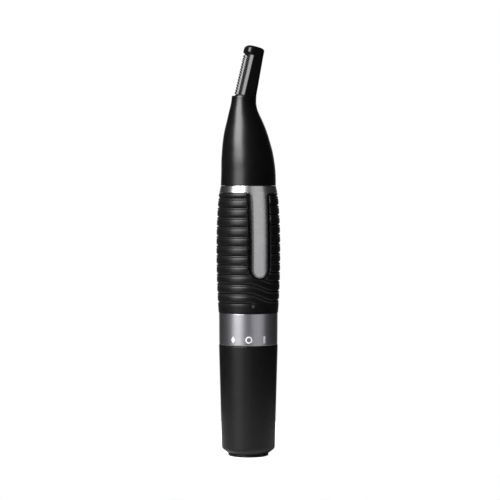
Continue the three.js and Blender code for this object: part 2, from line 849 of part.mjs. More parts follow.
function headShell() {
  const outside = headSections.map(([at, less]) => [headRadius + less, headBottom + at]);
  const inside = outside.slice(0, -3).map(([radius, height]) => [radius - headWall, height]);
  const mouth = [plugRadius + seatGap, neckTop];
  const throat = [plugRadius + seatGap, neckTop - 3];
  const shell = lathe([...outside, mouth, throat, ...inside.reverse(), outside[0]]);
  return moveEach(shell, (point) => {
    point.x += headShift(THREE.MathUtils.clamp(point.z, headBottom, neckTop));
  });
}

// Nozzle outline in its own frame, as [depth, width] points.
function nozzleOutline() {
  const arcDepth = nozzleDepth - nozzleBackRadius;
  const arcWidth = nozzleHalfWidth - nozzleBackRadius;
  const arc = arcPoints(arcDepth, arcWidth, nozzleBackRadius, 90, 0, 3);
  const side = [[0, nozzleHalfWidth - nozzleChamfer], [nozzleChamfer, nozzleHalfWidth], ...arc];
  return [...side, ...side.map(([depth, width]) => [depth, -width]).reverse()];
}

const narrowed = (point) => {
  point.x -= (nozzleTaper * Math.max(point.z, 0) * Math.max(point.x, 0)) / nozzleDepth;
};

function tipHood() {
  const back = nozzleDepth - nozzleTaper * (nozzleLength - hoodHeight);
  const [low, high] = [-hoodProud + hoodRound, back - hoodRound];
  const half = nozzleHalfWidth - hoodRound - 0.05;
  const core = shapeOf([[low, -half], [high, -half], [high, half], [low, half]]);
  const settings = {
    depth: nozzleLength,
    bevelSize: hoodRound,
    bevelThickness: hoodRound,
    bevelSegments: 3,
  };
  const block = new THREE.ExtrudeGeometry(core, settings).translate(0, 0, -hoodRound);
  const above = box(-20, 20, -20, 20, nozzleLength - hoodHeight, nozzleLength + 5);
  return common(toGeometry(toSolid(block)), above);
}

function nozzle() {
  const body = moveEach(raised(nozzleOutline(), -2, nozzleLength - hoodHeight + 1), narrowed);
  const innerBack = nozzleDepth - nozzleWall - nozzleTaper * nozzleLength;
  const innerHalf = nozzleHalfWidth - nozzleWall - 0.25;
  const innerTop = nozzleLength - hoodHeight + 0.6;
  const bore = box(nozzleWall, innerBack, -innerHalf, innerHalf, 0.2, innerTop);
  const combSlot = box(-2, 2, -combHalfWidth - 0.15, combHalfWidth + 0.15, 0.2, nozzleLength - hoodHeight);
  const throat = box(rodFront - 0.6, rodBack + 0.7, -rodHalfWidth - 0.5, rodHalfWidth + 0.5, -8, 1);
  const aboveNeck = box(-20, 20, -20, 20, neckTop + 0.05, neckTop + 40);
  const plug = disc(plugRadius, neckTop - 2.8, neckTop + 0.4, bigSides);
  const seated = moveEach(plug, (point) => {
    point.x += headShift(Math.min(point.z, neckTop));
  });
  const outside = join(common(placed(join(body, tipHood())), aboveNeck), seated);
  return cut(outside, placed(bore), placed(combSlot), placed(throat));
}

const combLow = 0.5;
const combHigh = nozzleLength - hoodHeight - 0.3;
const toothCount = Math.floor((combHigh - combLow - toothPitch) / toothPitch);
const firstTooth = (combLow + combHigh - (toothCount - 1) * toothPitch) / 2;

// Slots across the crest of the comb or blade, one for each gap between teeth.
function toothSlots(low, high) {
  return Array.from({ length: toothCount }, (unused, i) => {
    const along = firstTooth + i * toothPitch;
    return box(low, high, -2, 2, along - toothGap / 2, along + toothGap / 2);
  });
}

// A folded steel channel with two flanges behind the nozzle's face and slots across its crest.
function guardComb() {
  const flangeFront = nozzleWall + 0.1;
  const half = [
    [flangeFront + combWall, combHalfWidth - combWall],
    [flangeFront + combWall, combHalfWidth + 0.8],
    [flangeFront, combHalfWidth + 0.8],
    [flangeFront, combHalfWidth],
    [-combProud + 0.3, combHalfWidth],
    [-combProud, combHalfWidth - 0.3],
  ];
  const innerFace = combWall - combProud;
  const inner = [[innerFace, combWall - combHalfWidth], [innerFace, combHalfWidth - combWall]];
  const outline = [...half, ...half.map(([depth, width]) => [depth, -width]).reverse(), ...inner];
  return placed(cut(raised(outline, combLow, combHigh), ...toothSlots(-combProud - 1, -combProud + 0.7)));
}

function movingBlade() {
  const front = -combProud + combWall + 0.12;
  const plate = box(front, rodFront - 0.1, -bladeHalfWidth, bladeHalfWidth, combLow + 0.6, combHigh - 0.6);
  return placed(cut(plate, ...toothSlots(front - 1, front + 0.5)));
}

// The carrier: a bar behind the blade with a groove for it, a push rod, and a jaw for the lever's ball.
function bladeCarrier() {
  const ball = (rodFront + rodBack) / 2;
  const jaw = leverBallRadius + seatGap;
  const bar = box(rodFront - 0.6, rodBack, -1.3, 1.3, combLow + 0.8, combHigh - 0.8);
  const groove = box(0, rodFront + 0.05, -bladeHalfWidth - 0.1, bladeHalfWidth + 0.1, combLow, combHigh);
  const rod = box(rodFront, rodBack, -rodHalfWidth, rodHalfWidth, -rodReach + jaw, combLow + 2);
  const block = box(rodFront - 0.6, rodBack + 0.1, -1.3, 1.3, -rodReach - jaw - 0.7, -rodReach + jaw + 0.7);
  const mouth = box(ball - jaw, rodBack + 2, -2, 2, -rodReach - jaw, -rodReach + jaw);
  return placed(cut(join(cut(bar, groove), rod, block), mouth));
}

function bladeSpring() {
  const [low, high] = [combLow + 1.6, combHigh - 1.6];
  const bow = (start, steps) =>
    Array.from({ length: steps + 1 }, (unused, i) => {
      const share = i / steps;
      return [start + 0.45 * Math.sin(Math.PI * share), low + (high - low) * share];
    });
  return placed(acrossY([...bow(rodBack + 0.05, 8), ...bow(rodBack + 0.2, 8).reverse()], -0.8, 0.8));
}

// Spigot, cross wall and the two ears that hold the lever's pin.
function headFrame() {
  const outer = socketRadius - runGap;
  const inner = outer - 1;
  const wallLow = headBottom + 2.6;
  const wallHigh = wallLow + 1.4;
  const grooveLow = headSealHeight - sealSection - 0.1;
  const grooveHigh = headSealHeight + sealSection + 0.1;
  const body = lathe([
    [outer, headSpigotBottom],
    [outer, grooveLow],
    [outer - sealGroove, grooveLow],
    [outer - sealGroove, grooveHigh],
    [outer, grooveHigh],
    [outer, wallHigh],
    [forkReach + 1.2, wallHigh],
    [forkReach + 1.2, wallLow],
    [inner, wallLow],
    [inner, headSpigotBottom],
    [outer, headSpigotBottom],
  ]);
  const earHigh = pivotHeight + leverHubRadius;
  const earLow = wallLow + 0.2;
  const footHalf = leverHubRadius + 1;
  const ear = box(-leverHubRadius, leverHubRadius, earInner, earInner + earThickness, earLow, earHigh);
  const footing = box(-footHalf, footHalf, earInner, outer - 1.5, earLow, wallHigh);
  const ears = join(ear, footing);
  return cut(join(body, ears, turned(ears, 180)), pivotRod(leverPinRadius + seatGap, 20));
}

// A round bar along Y on the lever's axis.
function pivotRod(radius, length) {
  return disc(radius, -length / 2, length / 2, 12).rotateX(Math.PI / 2).translate(0, 0, pivotHeight);
}

const headGroup = groupOf(
  piece("head_shell", headShell(), "glossPlastic"),
  piece("nozzle", nozzle(), "glossPlastic"),
  piece("guard_comb", guardComb(), "steel"),
  piece("head_frame", headFrame(), "whitePlastic"),
  piece("head_seal", sealRing(socketRadius - runGap, headSealHeight), "rubber"),
  piece("lever_pin", pivotRod(leverPinRadius, 2 * (earInner + earThickness)), "steel"),
);

// Lever and cutter -------------------------------------------------------------------------------

// A bell crank: the fork round the crank pin hangs below the lever's axis, and the arm reaches to
// the cutter side.
function driveLever() {
  const bridgeLow = crankPinTop + 0.4;
  const bridgeHigh = bridgeLow + 1.5;
  const prong = box(forkReach - prongThickness, forkReach, -1.5, 1.5, bridgeHigh - forkLength, bridgeHigh);
  const bridge = box(-forkReach, forkReach, -1.5, 1.5, bridgeLow, bridgeHigh);
  const stem = box(-0.9, 0.9, -1.2, 1.2, bridgeLow, pivotHeight - 1);
  const arm = box(-armLength, -1.2, -0.8, 0.8, -0.5, 0.5);
  const ball = new THREE.SphereGeometry(leverBallRadius, 12, 8).translate(-armLength, 0, 0);
  const upper = join(arm, ball).rotateY(tilt).translate(0, 0, pivotHeight);
  const hub = pivotRod(leverHubRadius, 2 * earInner - 0.4);
  const solid = join(hub, stem, bridge, prong, turned(prong, 180), upper);
  return cut(solid, pivotRod(leverPinRadius + seatGap, 20));
}

const leverGroup = groupOf(piece("drive_lever", driveLever(), "whitePlastic"));
const cutterGroup = groupOf(
  piece("moving_blade", movingBlade(), "steel"),
  piece("blade_carrier", bladeCarrier(), "whitePlastic"),
  piece("blade_spring", bladeSpring(), "steel"),
);

const trimmer = groupOf(coverGroup, switchGroup, bodyGroup, rotorGroup, headGroup, leverGroup, cutterGroup);
export default trimmer;
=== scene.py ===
import json
import math

import bmesh
import bpy
from mathutils import Matrix, Vector


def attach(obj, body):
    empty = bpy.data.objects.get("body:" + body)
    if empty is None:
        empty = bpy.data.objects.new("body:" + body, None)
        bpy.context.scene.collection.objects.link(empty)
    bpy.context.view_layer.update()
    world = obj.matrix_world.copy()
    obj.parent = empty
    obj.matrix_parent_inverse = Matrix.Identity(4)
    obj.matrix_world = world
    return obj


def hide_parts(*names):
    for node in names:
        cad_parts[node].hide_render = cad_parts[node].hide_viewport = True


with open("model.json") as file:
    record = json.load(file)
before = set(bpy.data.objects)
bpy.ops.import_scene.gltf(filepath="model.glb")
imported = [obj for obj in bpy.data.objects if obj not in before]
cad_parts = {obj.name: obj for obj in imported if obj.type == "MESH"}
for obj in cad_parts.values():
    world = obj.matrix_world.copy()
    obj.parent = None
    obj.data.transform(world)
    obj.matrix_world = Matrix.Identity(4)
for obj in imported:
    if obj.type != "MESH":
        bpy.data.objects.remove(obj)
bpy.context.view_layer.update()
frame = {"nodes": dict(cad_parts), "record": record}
mm = 0.001
print("frame loaded:", len(frame["nodes"]), "nodes")


# small helpers: nodes, colours, meshes

def addNode(tree, kind, inputs=None, **settings):
    node = tree.nodes.new(kind)
    for name, value in settings.items():
        setattr(node, name, value)
    for name, value in (inputs or {}).items():
        if isinstance(value, bpy.types.Node):
            value = value.outputs[0]
        if isinstance(value, bpy.types.NodeSocket):
            tree.links.new(value, node.inputs[name])
        else:
            node.inputs[name].default_value = value
    return node


def linear(hexColour):
    parts = [int(hexColour[i : i + 2], 16) / 255 for i in (1, 3, 5)]
    return [c / 12.92 if c <= 0.04045 else ((c + 0.055) / 1.055) ** 2.4 for c in parts] + [1.0]


def smoothstep(value, low, high):
    share = min(max((value - low) / (high - low), 0), 1)
    return share * share * (3 - 2 * share)


def plainMesh(name, points, faces, scale=mm):
    mesh = bpy.data.meshes.new(name)
    mesh.from_pydata([tuple(c * scale for c in p) for p in points], [], faces)
    return mesh


def linked(name, data):
    obj = bpy.data.objects.new(name, data)
    bpy.context.scene.collection.objects.link(obj)
    return obj


# points in mm
def meshObject(name, points, faces, smoothAngle=35):
    return finished(plainMesh(name, points, faces), name, smoothAngle)


# one closed shell turns its faces outwards; a shape with a cavity keeps them as they are
def finished(mesh, name, smoothAngle=35, turnOut=True):
    samePlace = 1e-4 * mm
    soup = bmesh.new()
    soup.from_mesh(mesh)
    bmesh.ops.remove_doubles(soup, verts=soup.verts, dist=samePlace)
    bmesh.ops.dissolve_degenerate(soup, edges=soup.edges, dist=samePlace)
    if turnOut:
        bmesh.ops.recalc_face_normals(soup, faces=soup.faces)
        if soup.calc_volume(signed=True) < 0:
            bmesh.ops.reverse_faces(soup, faces=soup.faces)
    for face in soup.faces:
        face.smooth = True
    for edge in soup.edges:
        if len(edge.link_faces) == 2:
            edge.smooth = edge.calc_face_angle(0) < math.radians(smoothAngle)
    soup.to_mesh(mesh)
    soup.free()
    return linked(name, mesh)


# takes the evaluated shape as a plain mesh and drops the modifiers
def applied(obj, smoothAngle=35, turnOut=True):
    bpy.context.view_layer.update()
    graph = bpy.context.evaluated_depsgraph_get()
    mesh = bpy.data.meshes.new_from_object(obj.evaluated_get(graph))
    name = obj.name
    old = obj.data
    bpy.data.objects.remove(obj)
    bpy.data.meshes.remove(old)
    mesh.name = name
    return finished(mesh, name, smoothAngle, turnOut)


# faces between rows of points, each row a loop; returns points and faces
def loft(rows, closed=True):
    points = [p for row in rows for p in row]
    count = len(rows[0])
    faces = []
    for i in range(len(rows) - 1):
        for j in range(count if closed else count - 1):
            a, b = i * count + j, i * count + (j + 1) % count
            faces.append((a, b, b + count, a + count))
    return points, faces


# the same with both ends closed
def cappedLoft(rows):
    points, faces = loft(rows)
    count, last = len(rows[0]), len(points) - len(rows[0])
    return points, faces + [tuple(range(count - 1, -1, -1)), tuple(range(last, last + count))]


def turnedLoop(radius, height, sides, shift=0.0):
    step = 2 * math.pi / sides
    return [
        (shift + radius * math.cos(i * step), radius * math.sin(i * step), height)
        for i in range(sides)
    ]


# profile is (radius, height, corner) in mm: each corner becomes an arc of that size
def rounded(profile, sections=5):
    result = []
    count = len(profile)
    for i, (radius, height, corner) in enumerate(profile):
        here = Vector((radius, height))
        if not corner:
            result.append(here)
            continue
        before = Vector(profile[i - 1][:2]) - here
        after = Vector(profile[(i + 1) % count][:2]) - here
        reach = 0.49  # no corner takes more than this share of a side
        cut = min(corner, before.length * reach, after.length * reach)
        start, end = here + before.normalized() * cut, here + after.normalized() * cut
        for k in range(sections + 1):
            t = k / sections
            result.append((1 - t) ** 2 * start + 2 * t * (1 - t) * here + t * t * end)
    return result


# a closed profile of (radius, height, corner) turned round the axis; rows close to the ends of each
# long side keep its shading flat
def turnedPiece(name, profile, sides=192, smoothAngle=35, hold=0.08):
    outline = rounded(profile)
    if outline[0].x > 0 or outline[-1].x > 0:
        outline.append(outline[0])
    longSide = 6 * hold
    held = []
    for here, after in zip(outline, outline[1:]):
        held.append(here)
        side = after - here
        if side.length > longSide:
            held += [here + side.normalized() * hold, after - side.normalized() * hold]
    outline = held + [outline[-1]]
    rows = [turnedLoop(max(p.x, 0), p.y, sides) for p in outline]
    return meshObject(name, *loft(rows), smoothAngle=smoothAngle)


def boxMesh(name, low, high, turned=None):
    corners = [
        Vector((x, y, z))
        for z in (low[2], high[2]) for y in (low[1], high[1]) for x in (low[0], high[0])
    ]
    faces = [(0, 2, 3, 1), (4, 5, 7, 6), (0, 1, 5, 4), (2, 6, 7, 3), (0, 4, 6, 2), (1, 3, 7, 5)]
    corners = [turned @ c if turned else c for c in corners]
    return meshObject(name, corners, faces)


# union or difference with the others, which are used up
def combined(obj, others, operation, smoothAngle=35):
    for other in others:
        step = obj.modifiers.new(operation.lower(), "BOOLEAN")
        step.operation = operation
        step.solver = "EXACT"
        step.object = other
    result = applied(obj, smoothAngle, turnOut=False)
    for other in others:
        mesh = other.data
        bpy.data.objects.remove(other)
        bpy.data.meshes.remove(mesh)
    return result


# an attribute that is up to 1 on outer edges, by how sharp they are, and less on the points beside them
def markEdges(obj):
    sharpTurn, besideShare = 0.35, 0.6
    mesh = obj.data
    soup = bmesh.new()
    soup.from_mesh(mesh)
    soup.verts.ensure_lookup_table()
    worn = [0.0] * len(soup.verts)
    for edge in soup.edges:
        if len(edge.link_faces) == 2 and edge.is_convex:
            turn = min(edge.calc_face_angle(0) / sharpTurn, 1)
            for vert in edge.verts:
                worn[vert.index] = max(worn[vert.index], turn)
    beside = [max((worn[e.other_vert(v).index] for e in v.link_edges), default=0) for v in soup.verts]
    worn = [max(own, besideShare * other) for own, other in zip(worn, beside)]
    soup.free()
    layer = mesh.attributes.new("edge", "FLOAT", "POINT")
    layer.data.foreach_set("value", worn)


def place(obj, body, nodes, slotName, material):
    if obj.data.attributes.get("edge") is None:
        markEdges(obj)
    obj.data.materials.clear()
    obj.data.materials.append(material)
    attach(obj, body)
    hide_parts(*nodes)
    print("piece", obj.name, len(obj.data.polygons), "faces")
    return obj


# finishes: key is what the pieces ask for them by; mottle, grain, streak and depths are in mm

finishes = {
    # spark-eroded mould, acrylonitrile butadiene styrene: a dry, even black with a fine satin grain
    "moulded black ABS": dict(
        key="black_plastic", colour="#060606", second="#0a0a0b", roughness=(0.36, 0.42), ior=1.42,
        mottle=3.0, grain=0.16, grainDepth=0.004, wear="#141415", wearRough=0.4,
    ),
    # polished mould, ABS: a deep black that mirrors the lamps with slightly soft edges
    "polished black ABS": dict(
        key="gloss_black", colour="#070707", second="#0c0b0c", roughness=(0.28, 0.33), ior=1.55,
        mottle=4.0, grain=1.2, grainDepth=0.0004, wear="#101011", wearRough=0.28,
    ),
    # turned aluminium, satin anodised: a soft grey metal with faint rings round the axis, rougher than the
    # bright trim; its darker grey is partly painted shade, a dimmer copy of the same trim metal for the
    # ring
    "satin anodised aluminium": dict(
        key="satin_trim_painted_shade", colour="#aeaeb4", second="#a9a9af", roughness=(0.36, 0.4), metallic=1.0,
        mottle=2.5, streak=(0.08, (0.02, 0.02, 1.0)), streakDepth=0.0002,
        wear="#cdcdd2", wearRough=0.25,
    ),
    # the same metal bright anodised: the lamps show with firmer edges
    "bright anodised aluminium": dict(
        key="silver_trim", colour="#c6c6c8", second="#c0c0c2", roughness=(0.26, 0.3), metallic=1.0,
        mottle=2.5, streak=(0.08, (0.02, 0.02, 1.0)), streakDepth=0.0001,
        wear="#dedee0", wearRough=0.22,
    ),
    # thermoplastic elastomer over-moulded on the body: charcoal, waxy highlights, a little dust
    "over-moulded elastomer": dict(
        key="grip_rubber", colour="#080809", second="#0d0d0e", roughness=(0.32, 0.39), ior=1.43,
        mottle=1.6, grain=0.12, grainDepth=0.004, sheen=0.02, wear="#1a1a1c", wearRough=0.4,
    ),
    # silicone rubber ring: dull black with a slight bloom
    "moulded silicone": dict(
        key="seal_rubber", colour="#161617", second="#202022", roughness=(0.5, 0.62), ior=1.42,
        mottle=1.0, grain=0.1, grainDepth=0.004, sheen=0.05,
    ),
    # unfilled acetal, moulded: milky white, soft edges where light gets in
    "moulded acetal": dict(
        key="natural_plastic", colour="#dcdad2", second="#cfccc2", roughness=(0.34, 0.42), ior=1.48,
        mottle=2.5, grain=0.2, grainDepth=0.003, scatter=0.25, wear="#eceae4", wearRough=0.3,
    ),
    # ground stainless strip: bright, with fine grinding marks along the part
    "ground stainless steel": dict(
        key="steel", colour="#dcdcde", second="#cccccf", roughness=(0.22, 0.3), metallic=1.0,
        mottle=1.2, streak=(0.06, (1.0, 1.0, 0.05)), streakDepth=0.0012, wear="#f0f0f2", wearRough=0.16,
    ),
    # rolled brass strip: warm yellow, a little tarnish in blotches
    "rolled brass": dict(
        key="brass", colour="#d8b066", second="#b48a45", roughness=(0.24, 0.38), metallic=1.0,
        mottle=1.5, streak=(0.07, (1.0, 1.0, 0.06)), streakDepth=0.001, wear="#ecd08c", wearRough=0.2,
    ),
    # enamelled copper wire: reddish, glossy under its varnish
    "enamelled copper": dict(
        key="copper", colour="#c9714a", second="#a8552f", roughness=(0.22, 0.34), metallic=1.0,
        mottle=0.9, grain=0.25, grainDepth=0.02, coat=0.5, wear="#dd9470", wearRough=0.2,
    ),
    # sintered ferrite: dark grey, dull and slightly gritty
    "sintered ferrite": dict(
        key="ferrite", colour="#2e2e31", second="#3a3a3e", roughness=(0.5, 0.65), ior=1.9,
        mottle=1.0, grain=0.08, grainDepth=0.006, wear="#54545a", wearRough=0.42,
    ),
    # printed shrink sleeve on the cell: plain green film, glossy with small ripples
    "shrink sleeve": dict(
        key="cell_wrap", colour="#2f7a4a", second="#276a3f", roughness=(0.2, 0.3), ior=1.54,
        mottle=6.0, grain=1.4, grainDepth=0.01, coat=0.3, wear="#4b9464", wearRough=0.2,
    ),
    # pad-printed ink: flat white film, thin enough for its edge to look a little grey
    "pad-printed white ink": dict(
        key="mark_paint", colour="#f4f4f3", second="#e6e6e6", roughness=(0.4, 0.5), ior=1.5,
        mottle=0.5, grain=0.09, grainDepth=0.002,
    ),
    # flat grey film on the grip's pip, matt: the grey is a painted highlight, standing in for the light its
    # small dome catches
    "worn grey ink": dict(
        key="pip_highlight_ink", colour="#424244", second="#38383a", roughness=(0.5, 0.6), ior=1.5,
        mottle=0.4, grain=0.09, grainDepth=0.002,
    ),
}


def makeFinish(name, look):
    material = bpy.data.materials.new(name)
    material.use_nodes = True
    tree = material.node_tree
    tree.nodes.clear()
    where = addNode(tree, "ShaderNodeTexCoord").outputs["Object"]
    # object units are metres, so 1000 / size gives one feature per size in mm
    mottle = addNode(tree, "ShaderNodeTexNoise", {
        "Vector": where, "Scale": 1000 / look["mottle"], "Detail": 4.0, "Roughness": 0.6})
    if "streak" in look:
        width, stretch = look["streak"]
        lined = addNode(tree, "ShaderNodeMapping", {"Vector": where, "Scale": stretch})
        fine = addNode(tree, "ShaderNodeTexNoise", {
            "Vector": lined, "Scale": 1000 / width, "Detail": 3.0, "Roughness": 0.65})
        depth = look["streakDepth"]
    else:
        fine = addNode(tree, "ShaderNodeTexNoise", {
            "Vector": where, "Scale": 1000 / look["grain"], "Detail": 2.0, "Roughness": 0.55})
        depth = look["grainDepth"]
    patches = addNode(tree, "ShaderNodeMapRange", {
        "Value": mottle.outputs["Fac"], "From Min": 0.35, "From Max": 0.65})
    colour = mixOutput(addNode(tree, "ShaderNodeMix", {
        "Factor": patches.outputs["Result"], "A": linear(look["colour"]), "B": linear(look["second"])},
        data_type="RGBA"))
    blend = addNode(
        tree, "ShaderNodeMath", {0: mottle.outputs["Fac"], 1: fine.outputs["Fac"]}, operation="ADD")
    rough = addNode(tree, "ShaderNodeMapRange", {
        "Value": blend, "From Min": 0.7, "From Max": 1.3,
        "To Min": look["roughness"][0], "To Max": look["roughness"][1]}).outputs["Result"]
    if "wear" in look:
        edge = addNode(tree, "ShaderNodeAttribute", attribute_name="edge").outputs["Fac"]
        rubbed = addNode(tree, "ShaderNodeMath", {0: edge, 1: fine.outputs["Fac"]}, operation="MULTIPLY")
        colour = mixOutput(addNode(tree, "ShaderNodeMix", {
            "Factor": rubbed, "A": colour, "B": linear(look["wear"])}, data_type="RGBA"))
        rough = addNode(tree, "ShaderNodeMix", {
            "Factor": rubbed, "A": rough, "B": look["wearRough"]}, data_type="FLOAT").outputs[0]
    bump = addNode(tree, "ShaderNodeBump", {
        "Height": fine.outputs["Fac"], "Distance": depth * mm, "Strength": 1.0})
    shader = addNode(tree, "ShaderNodeBsdfPrincipled", {
        "Base Color": colour, "Roughness": rough, "Normal": bump, "Metallic": look.get("metallic", 0.0)})
    extras = dict(ior="IOR", sheen="Sheen Weight", coat="Coat Weight", scatter="Subsurface Weight")
    for field, socket in extras.items():
        if field in look:
            shader.inputs[socket].default_value = look[field]
    shader.inputs["Coat Roughness"].default_value = 0.12
    shader.inputs["Subsurface Scale"].default_value = 0.5 * mm
    addNode(tree, "ShaderNodeOutputMaterial", {"Surface": shader})
    return material


# a mix node has one output for each kind of value, and one of them is on
def mixOutput(node):
    return next(s for s in node.outputs if s.enabled)


materials = {}
for finishName, finishLook in finishes.items():
    materials[finishLook["key"]] = makeFinish(finishName, finishLook)
print("finishes made:", len(materials))


# battery cover and foot; here and below, lengths and radii in mm, angles in degrees

cover = dict(
    bottomRadius=9.08, topRadius=10.08, low=0.95, high=38.15, chamfer=2.0, chamferHigh=1.55, edge=0.35,
    bay=7.6, recess=8.85, recessFrom=31.35, floor=3.6,
    underRound=0.12, bottomRound=0.3, sideRound=0.6, mouthRound=0.25, bayRound=0.15, floorRound=0.4,
    notch=0.6, notchAngle=-21, notchInner=9.5, notchOuter=11,
    dogWidth=3.0, dogInner=8.45, dogOuter=9.1, dogHigh=40.45, dogSink=0.3,
    lugWidth=2.4, lugInner=7.95, lugLow=34.25, lugHigh=35.75, lugSink=0.1,
    grooveInner=6.6, grooveHalf=1.3, stripOuter=8.1, stripHigh=31.75,
    fingerOuter=9.3, fingerLow=30.05, fingerHigh=39.15,
)
foot = dict(
    radius=6.9, edge=0.7, waist=6.4, recess=6.45, high=1.95, gap=0.05,
    dishInner=4.2, dishOuter=4.35, dishDeep=0.25, round=0.3, edgeRound=0.15, dishRound=0.1,
)


# a curved block at the front, width across, turned round the axis by degrees
def segmentPiece(name, inner, outer, low, high, width, turn):
    half = math.asin(width / 2 / outer)
    steps = 8
    angles = [-math.pi / 2 - half + 2 * half * i / steps for i in range(steps + 1)]
    rows = []
    for radius, height in ((inner, low), (outer, low), (outer, high), (inner, high), (inner, low)):
        rows.append([(radius * math.cos(a), radius * math.sin(a), height) for a in angles])
    points, faces = loft(rows, closed=False)
    count = steps + 1
    faces += [(0, count, 2 * count, 3 * count), tuple(k * count + steps for k in (3, 2, 1, 0))]
    spin = Matrix.Rotation(math.radians(turn), 4, "Z")
    return meshObject(name, [spin @ Vector(p) for p in points], faces)


def batteryCover():
    c = cover
    overFoot = foot["high"] + foot["gap"]
    body = turnedPiece("cover body", [
        (0, overFoot, 0), (foot["recess"], overFoot, 0), (foot["recess"], c["low"], c["underRound"]),
        (c["bottomRadius"] - c["chamfer"], c["low"], c["bottomRound"]),
        (c["bottomRadius"], c["low"] + c["chamferHigh"], c["sideRound"]),
        (c["topRadius"], c["high"], c["edge"]), (c["recess"], c["high"], c["mouthRound"]),
        (c["recess"], c["recessFrom"], 0), (c["bay"], c["recessFrom"], c["bayRound"]),
        (c["bay"], c["floor"], c["floorRound"]), (0, c["floor"], 0),
    ])
    blocks = [
        ("dog", c["dogInner"], c["dogOuter"], c["high"] - c["dogSink"], c["dogHigh"], c["dogWidth"]),
        ("lug", c["lugInner"], c["recess"] + c["lugSink"], c["lugLow"], c["lugHigh"], c["lugWidth"]),
    ]
    body = combined(body, [segmentPiece(*block, turn) for block in blocks for turn in (0, 180)], "UNION")
    spin = Matrix.Rotation(math.radians(c["notchAngle"]), 4, "Z")
    inner, half = c["grooveInner"], c["grooveHalf"]
    cuts = [
        boxMesh("notch", (-c["notch"], -c["notchOuter"], c["high"] - c["notch"]),
                (c["notch"], -c["notchInner"], c["high"] + 1), spin),
        boxMesh("strip groove", (inner, -half, c["floor"]), (c["stripOuter"], half, c["stripHigh"])),
        boxMesh("finger groove", (inner, -half, c["fingerLow"]), (c["fingerOuter"], half, c["fingerHigh"])),
    ]
    body = combined(body, cuts, "DIFFERENCE")
    body.name = "cover_tube"
    return body


def footDisc():
    f = foot
    return turnedPiece("foot_disc", [
        (0, f["dishDeep"], 0), (f["dishInner"], f["dishDeep"], f["dishRound"]),
        (f["dishOuter"], 0, f["dishRound"]), (f["radius"], 0, f["round"]),
        (f["radius"], f["edge"], f["edgeRound"]), (f["waist"], f["edge"], 0),
        (f["waist"], f["high"], 0), (0, f["high"], 0)], sides=128)


place(batteryCover(), "battery_cover", ["battery_cover"], "black_plastic", materials["black_plastic"])
place(footDisc(), "battery_cover", ["base_foot"], "black_plastic", materials["black_plastic"])


# lower ring and its marks

ring = dict(
    inner=9.25, bottomRadius=9.97, topRadius=10.04, low=38.25, high=49.15, edge=0.24,
    # the printed film: its lift off the ring, how deep its back lies, its rounding and its lean
    markCentre=40.35, markHeight=2.4, markLift=0.035, markBack=0.04, markShoulder=0.6, markEase=0.97,
    markLean=0.0071, markCore=0.02, lozengeHalf=0.8, circleBore=0.62, barHalf=0.36,
    openAngle=-53, offAngle=-21, onAngle=11,
)


def ringPiece():
    r = ring
    return turnedPiece("silver_ring", [
        (r["inner"], r["low"], 0), (r["bottomRadius"], r["low"], r["edge"]),
        (r["topRadius"], r["high"], r["edge"]), (r["inner"], r["high"], 0)], sides=256, smoothAngle=50)


def shrunk(outline, share):
    return [(x * share, y * share) for x, y in outline]


# a film between two outlines of (across, up) in mm, laid on the ring and turned into place
def inkMark(name, outer, inner, turn):
    r = ring
    share = (r["markCentre"] - r["low"]) / (r["high"] - r["low"])
    ground = r["bottomRadius"] + (r["topRadius"] - r["bottomRadius"]) * share
    back, lift = -r["markBack"], r["markLift"]
    rows = []
    for outline, size, height in ((inner, 1, back), (outer, 1, back), (outer, 1, lift * r["markShoulder"]),
                                  (outer, r["markEase"], lift), (inner, 1, lift), (inner, 1, back)):
        row = []
        for across, up in shrunk(outline, size):
            angle = across / ground - math.pi / 2 + math.radians(turn)
            radius = ground + height + r["markLean"] * up
            row.append((radius * math.cos(angle), radius * math.sin(angle), r["markCentre"] + up))
        rows.append(row)
    return meshObject(name, *loft(rows), smoothAngle=30)


# straight sides between the corners, each in this many steps
def outlineOf(corners, steps):
    points = []
    for i, (x, y) in enumerate(corners):
        nextX, nextY = corners[(i + 1) % len(corners)]
        points += [(x + (nextX - x) * k / steps, y + (nextY - y) * k / steps) for k in range(steps)]
    return points


def markPieces():
    r = ring
    half = r["markHeight"] / 2
    wide, thin, core = r["lozengeHalf"], r["barHalf"], r["markCore"]
    lozenge = outlineOf([(0, half), (-wide, 0), (0, -half), (wide, 0)], 8)
    circle = [(x, y) for x, y, _ in turnedLoop(half, 0, 64)]
    bar = outlineOf([(thin, half), (-thin, half), (-thin, -half), (thin, -half)], 8)
    yield "mark_open", inkMark("open_mark", lozenge, shrunk(lozenge, core), r["openAngle"])
    yield "mark_off", inkMark("off_mark", circle, shrunk(circle, r["circleBore"]), r["offAngle"])
    yield "mark_on", inkMark("on_mark", bar, shrunk(bar, core), r["onAngle"])


# the ring takes a darker copy of the collar's trim metal: its darker grey is partly painted shade
place(ringPiece(), "main_body", ["lower_ring"], "silver_trim", materials["satin_trim_painted_shade"])
for markNode, markPiece in markPieces():
    place(markPiece, "main_body", [markNode], "mark_paint", materials["mark_paint"])


# rubber grip: a sheet of rows and columns that geometry nodes wrap, rib and cut back for the tongues

grip = dict(
    low=49.15, high=89.95, inner=9.25, peak=10.936, middleShare=0.53, belowDrop=0.74, aboveDrop=0.88,
    power=2.2, ribLow=52.25, ribFade=0.35, firstGroove=52.7, pitch=3.24, grooveDepth=0.5,
    drop=2.56, dropFrom=-25.0, dropTo=30.0,
    channelHalf=4.07, channelEnd=64.87, channelFloor=9.36, channelSoft=0.5, lip=0.3, lipDepth=0.22,
)
# height of a rib from one groove up to the next: broad crown, fine line, bead
ribShape = [
    (0, 0), (0.05, 0.4), (0.12, 0.82), (0.22, 0.96), (0.42, 1.0), (0.6, 0.95), (0.7, 0.84),
    (0.745, 0.62), (0.79, 0.84), (0.86, 0.98), (0.92, 0.86), (0.965, 0.4), (1, 0),
]
ribEndShape = [(0, 0), (0.1, 0.62), (0.3, 0.9), (0.6, 0.99), (1, 1)]
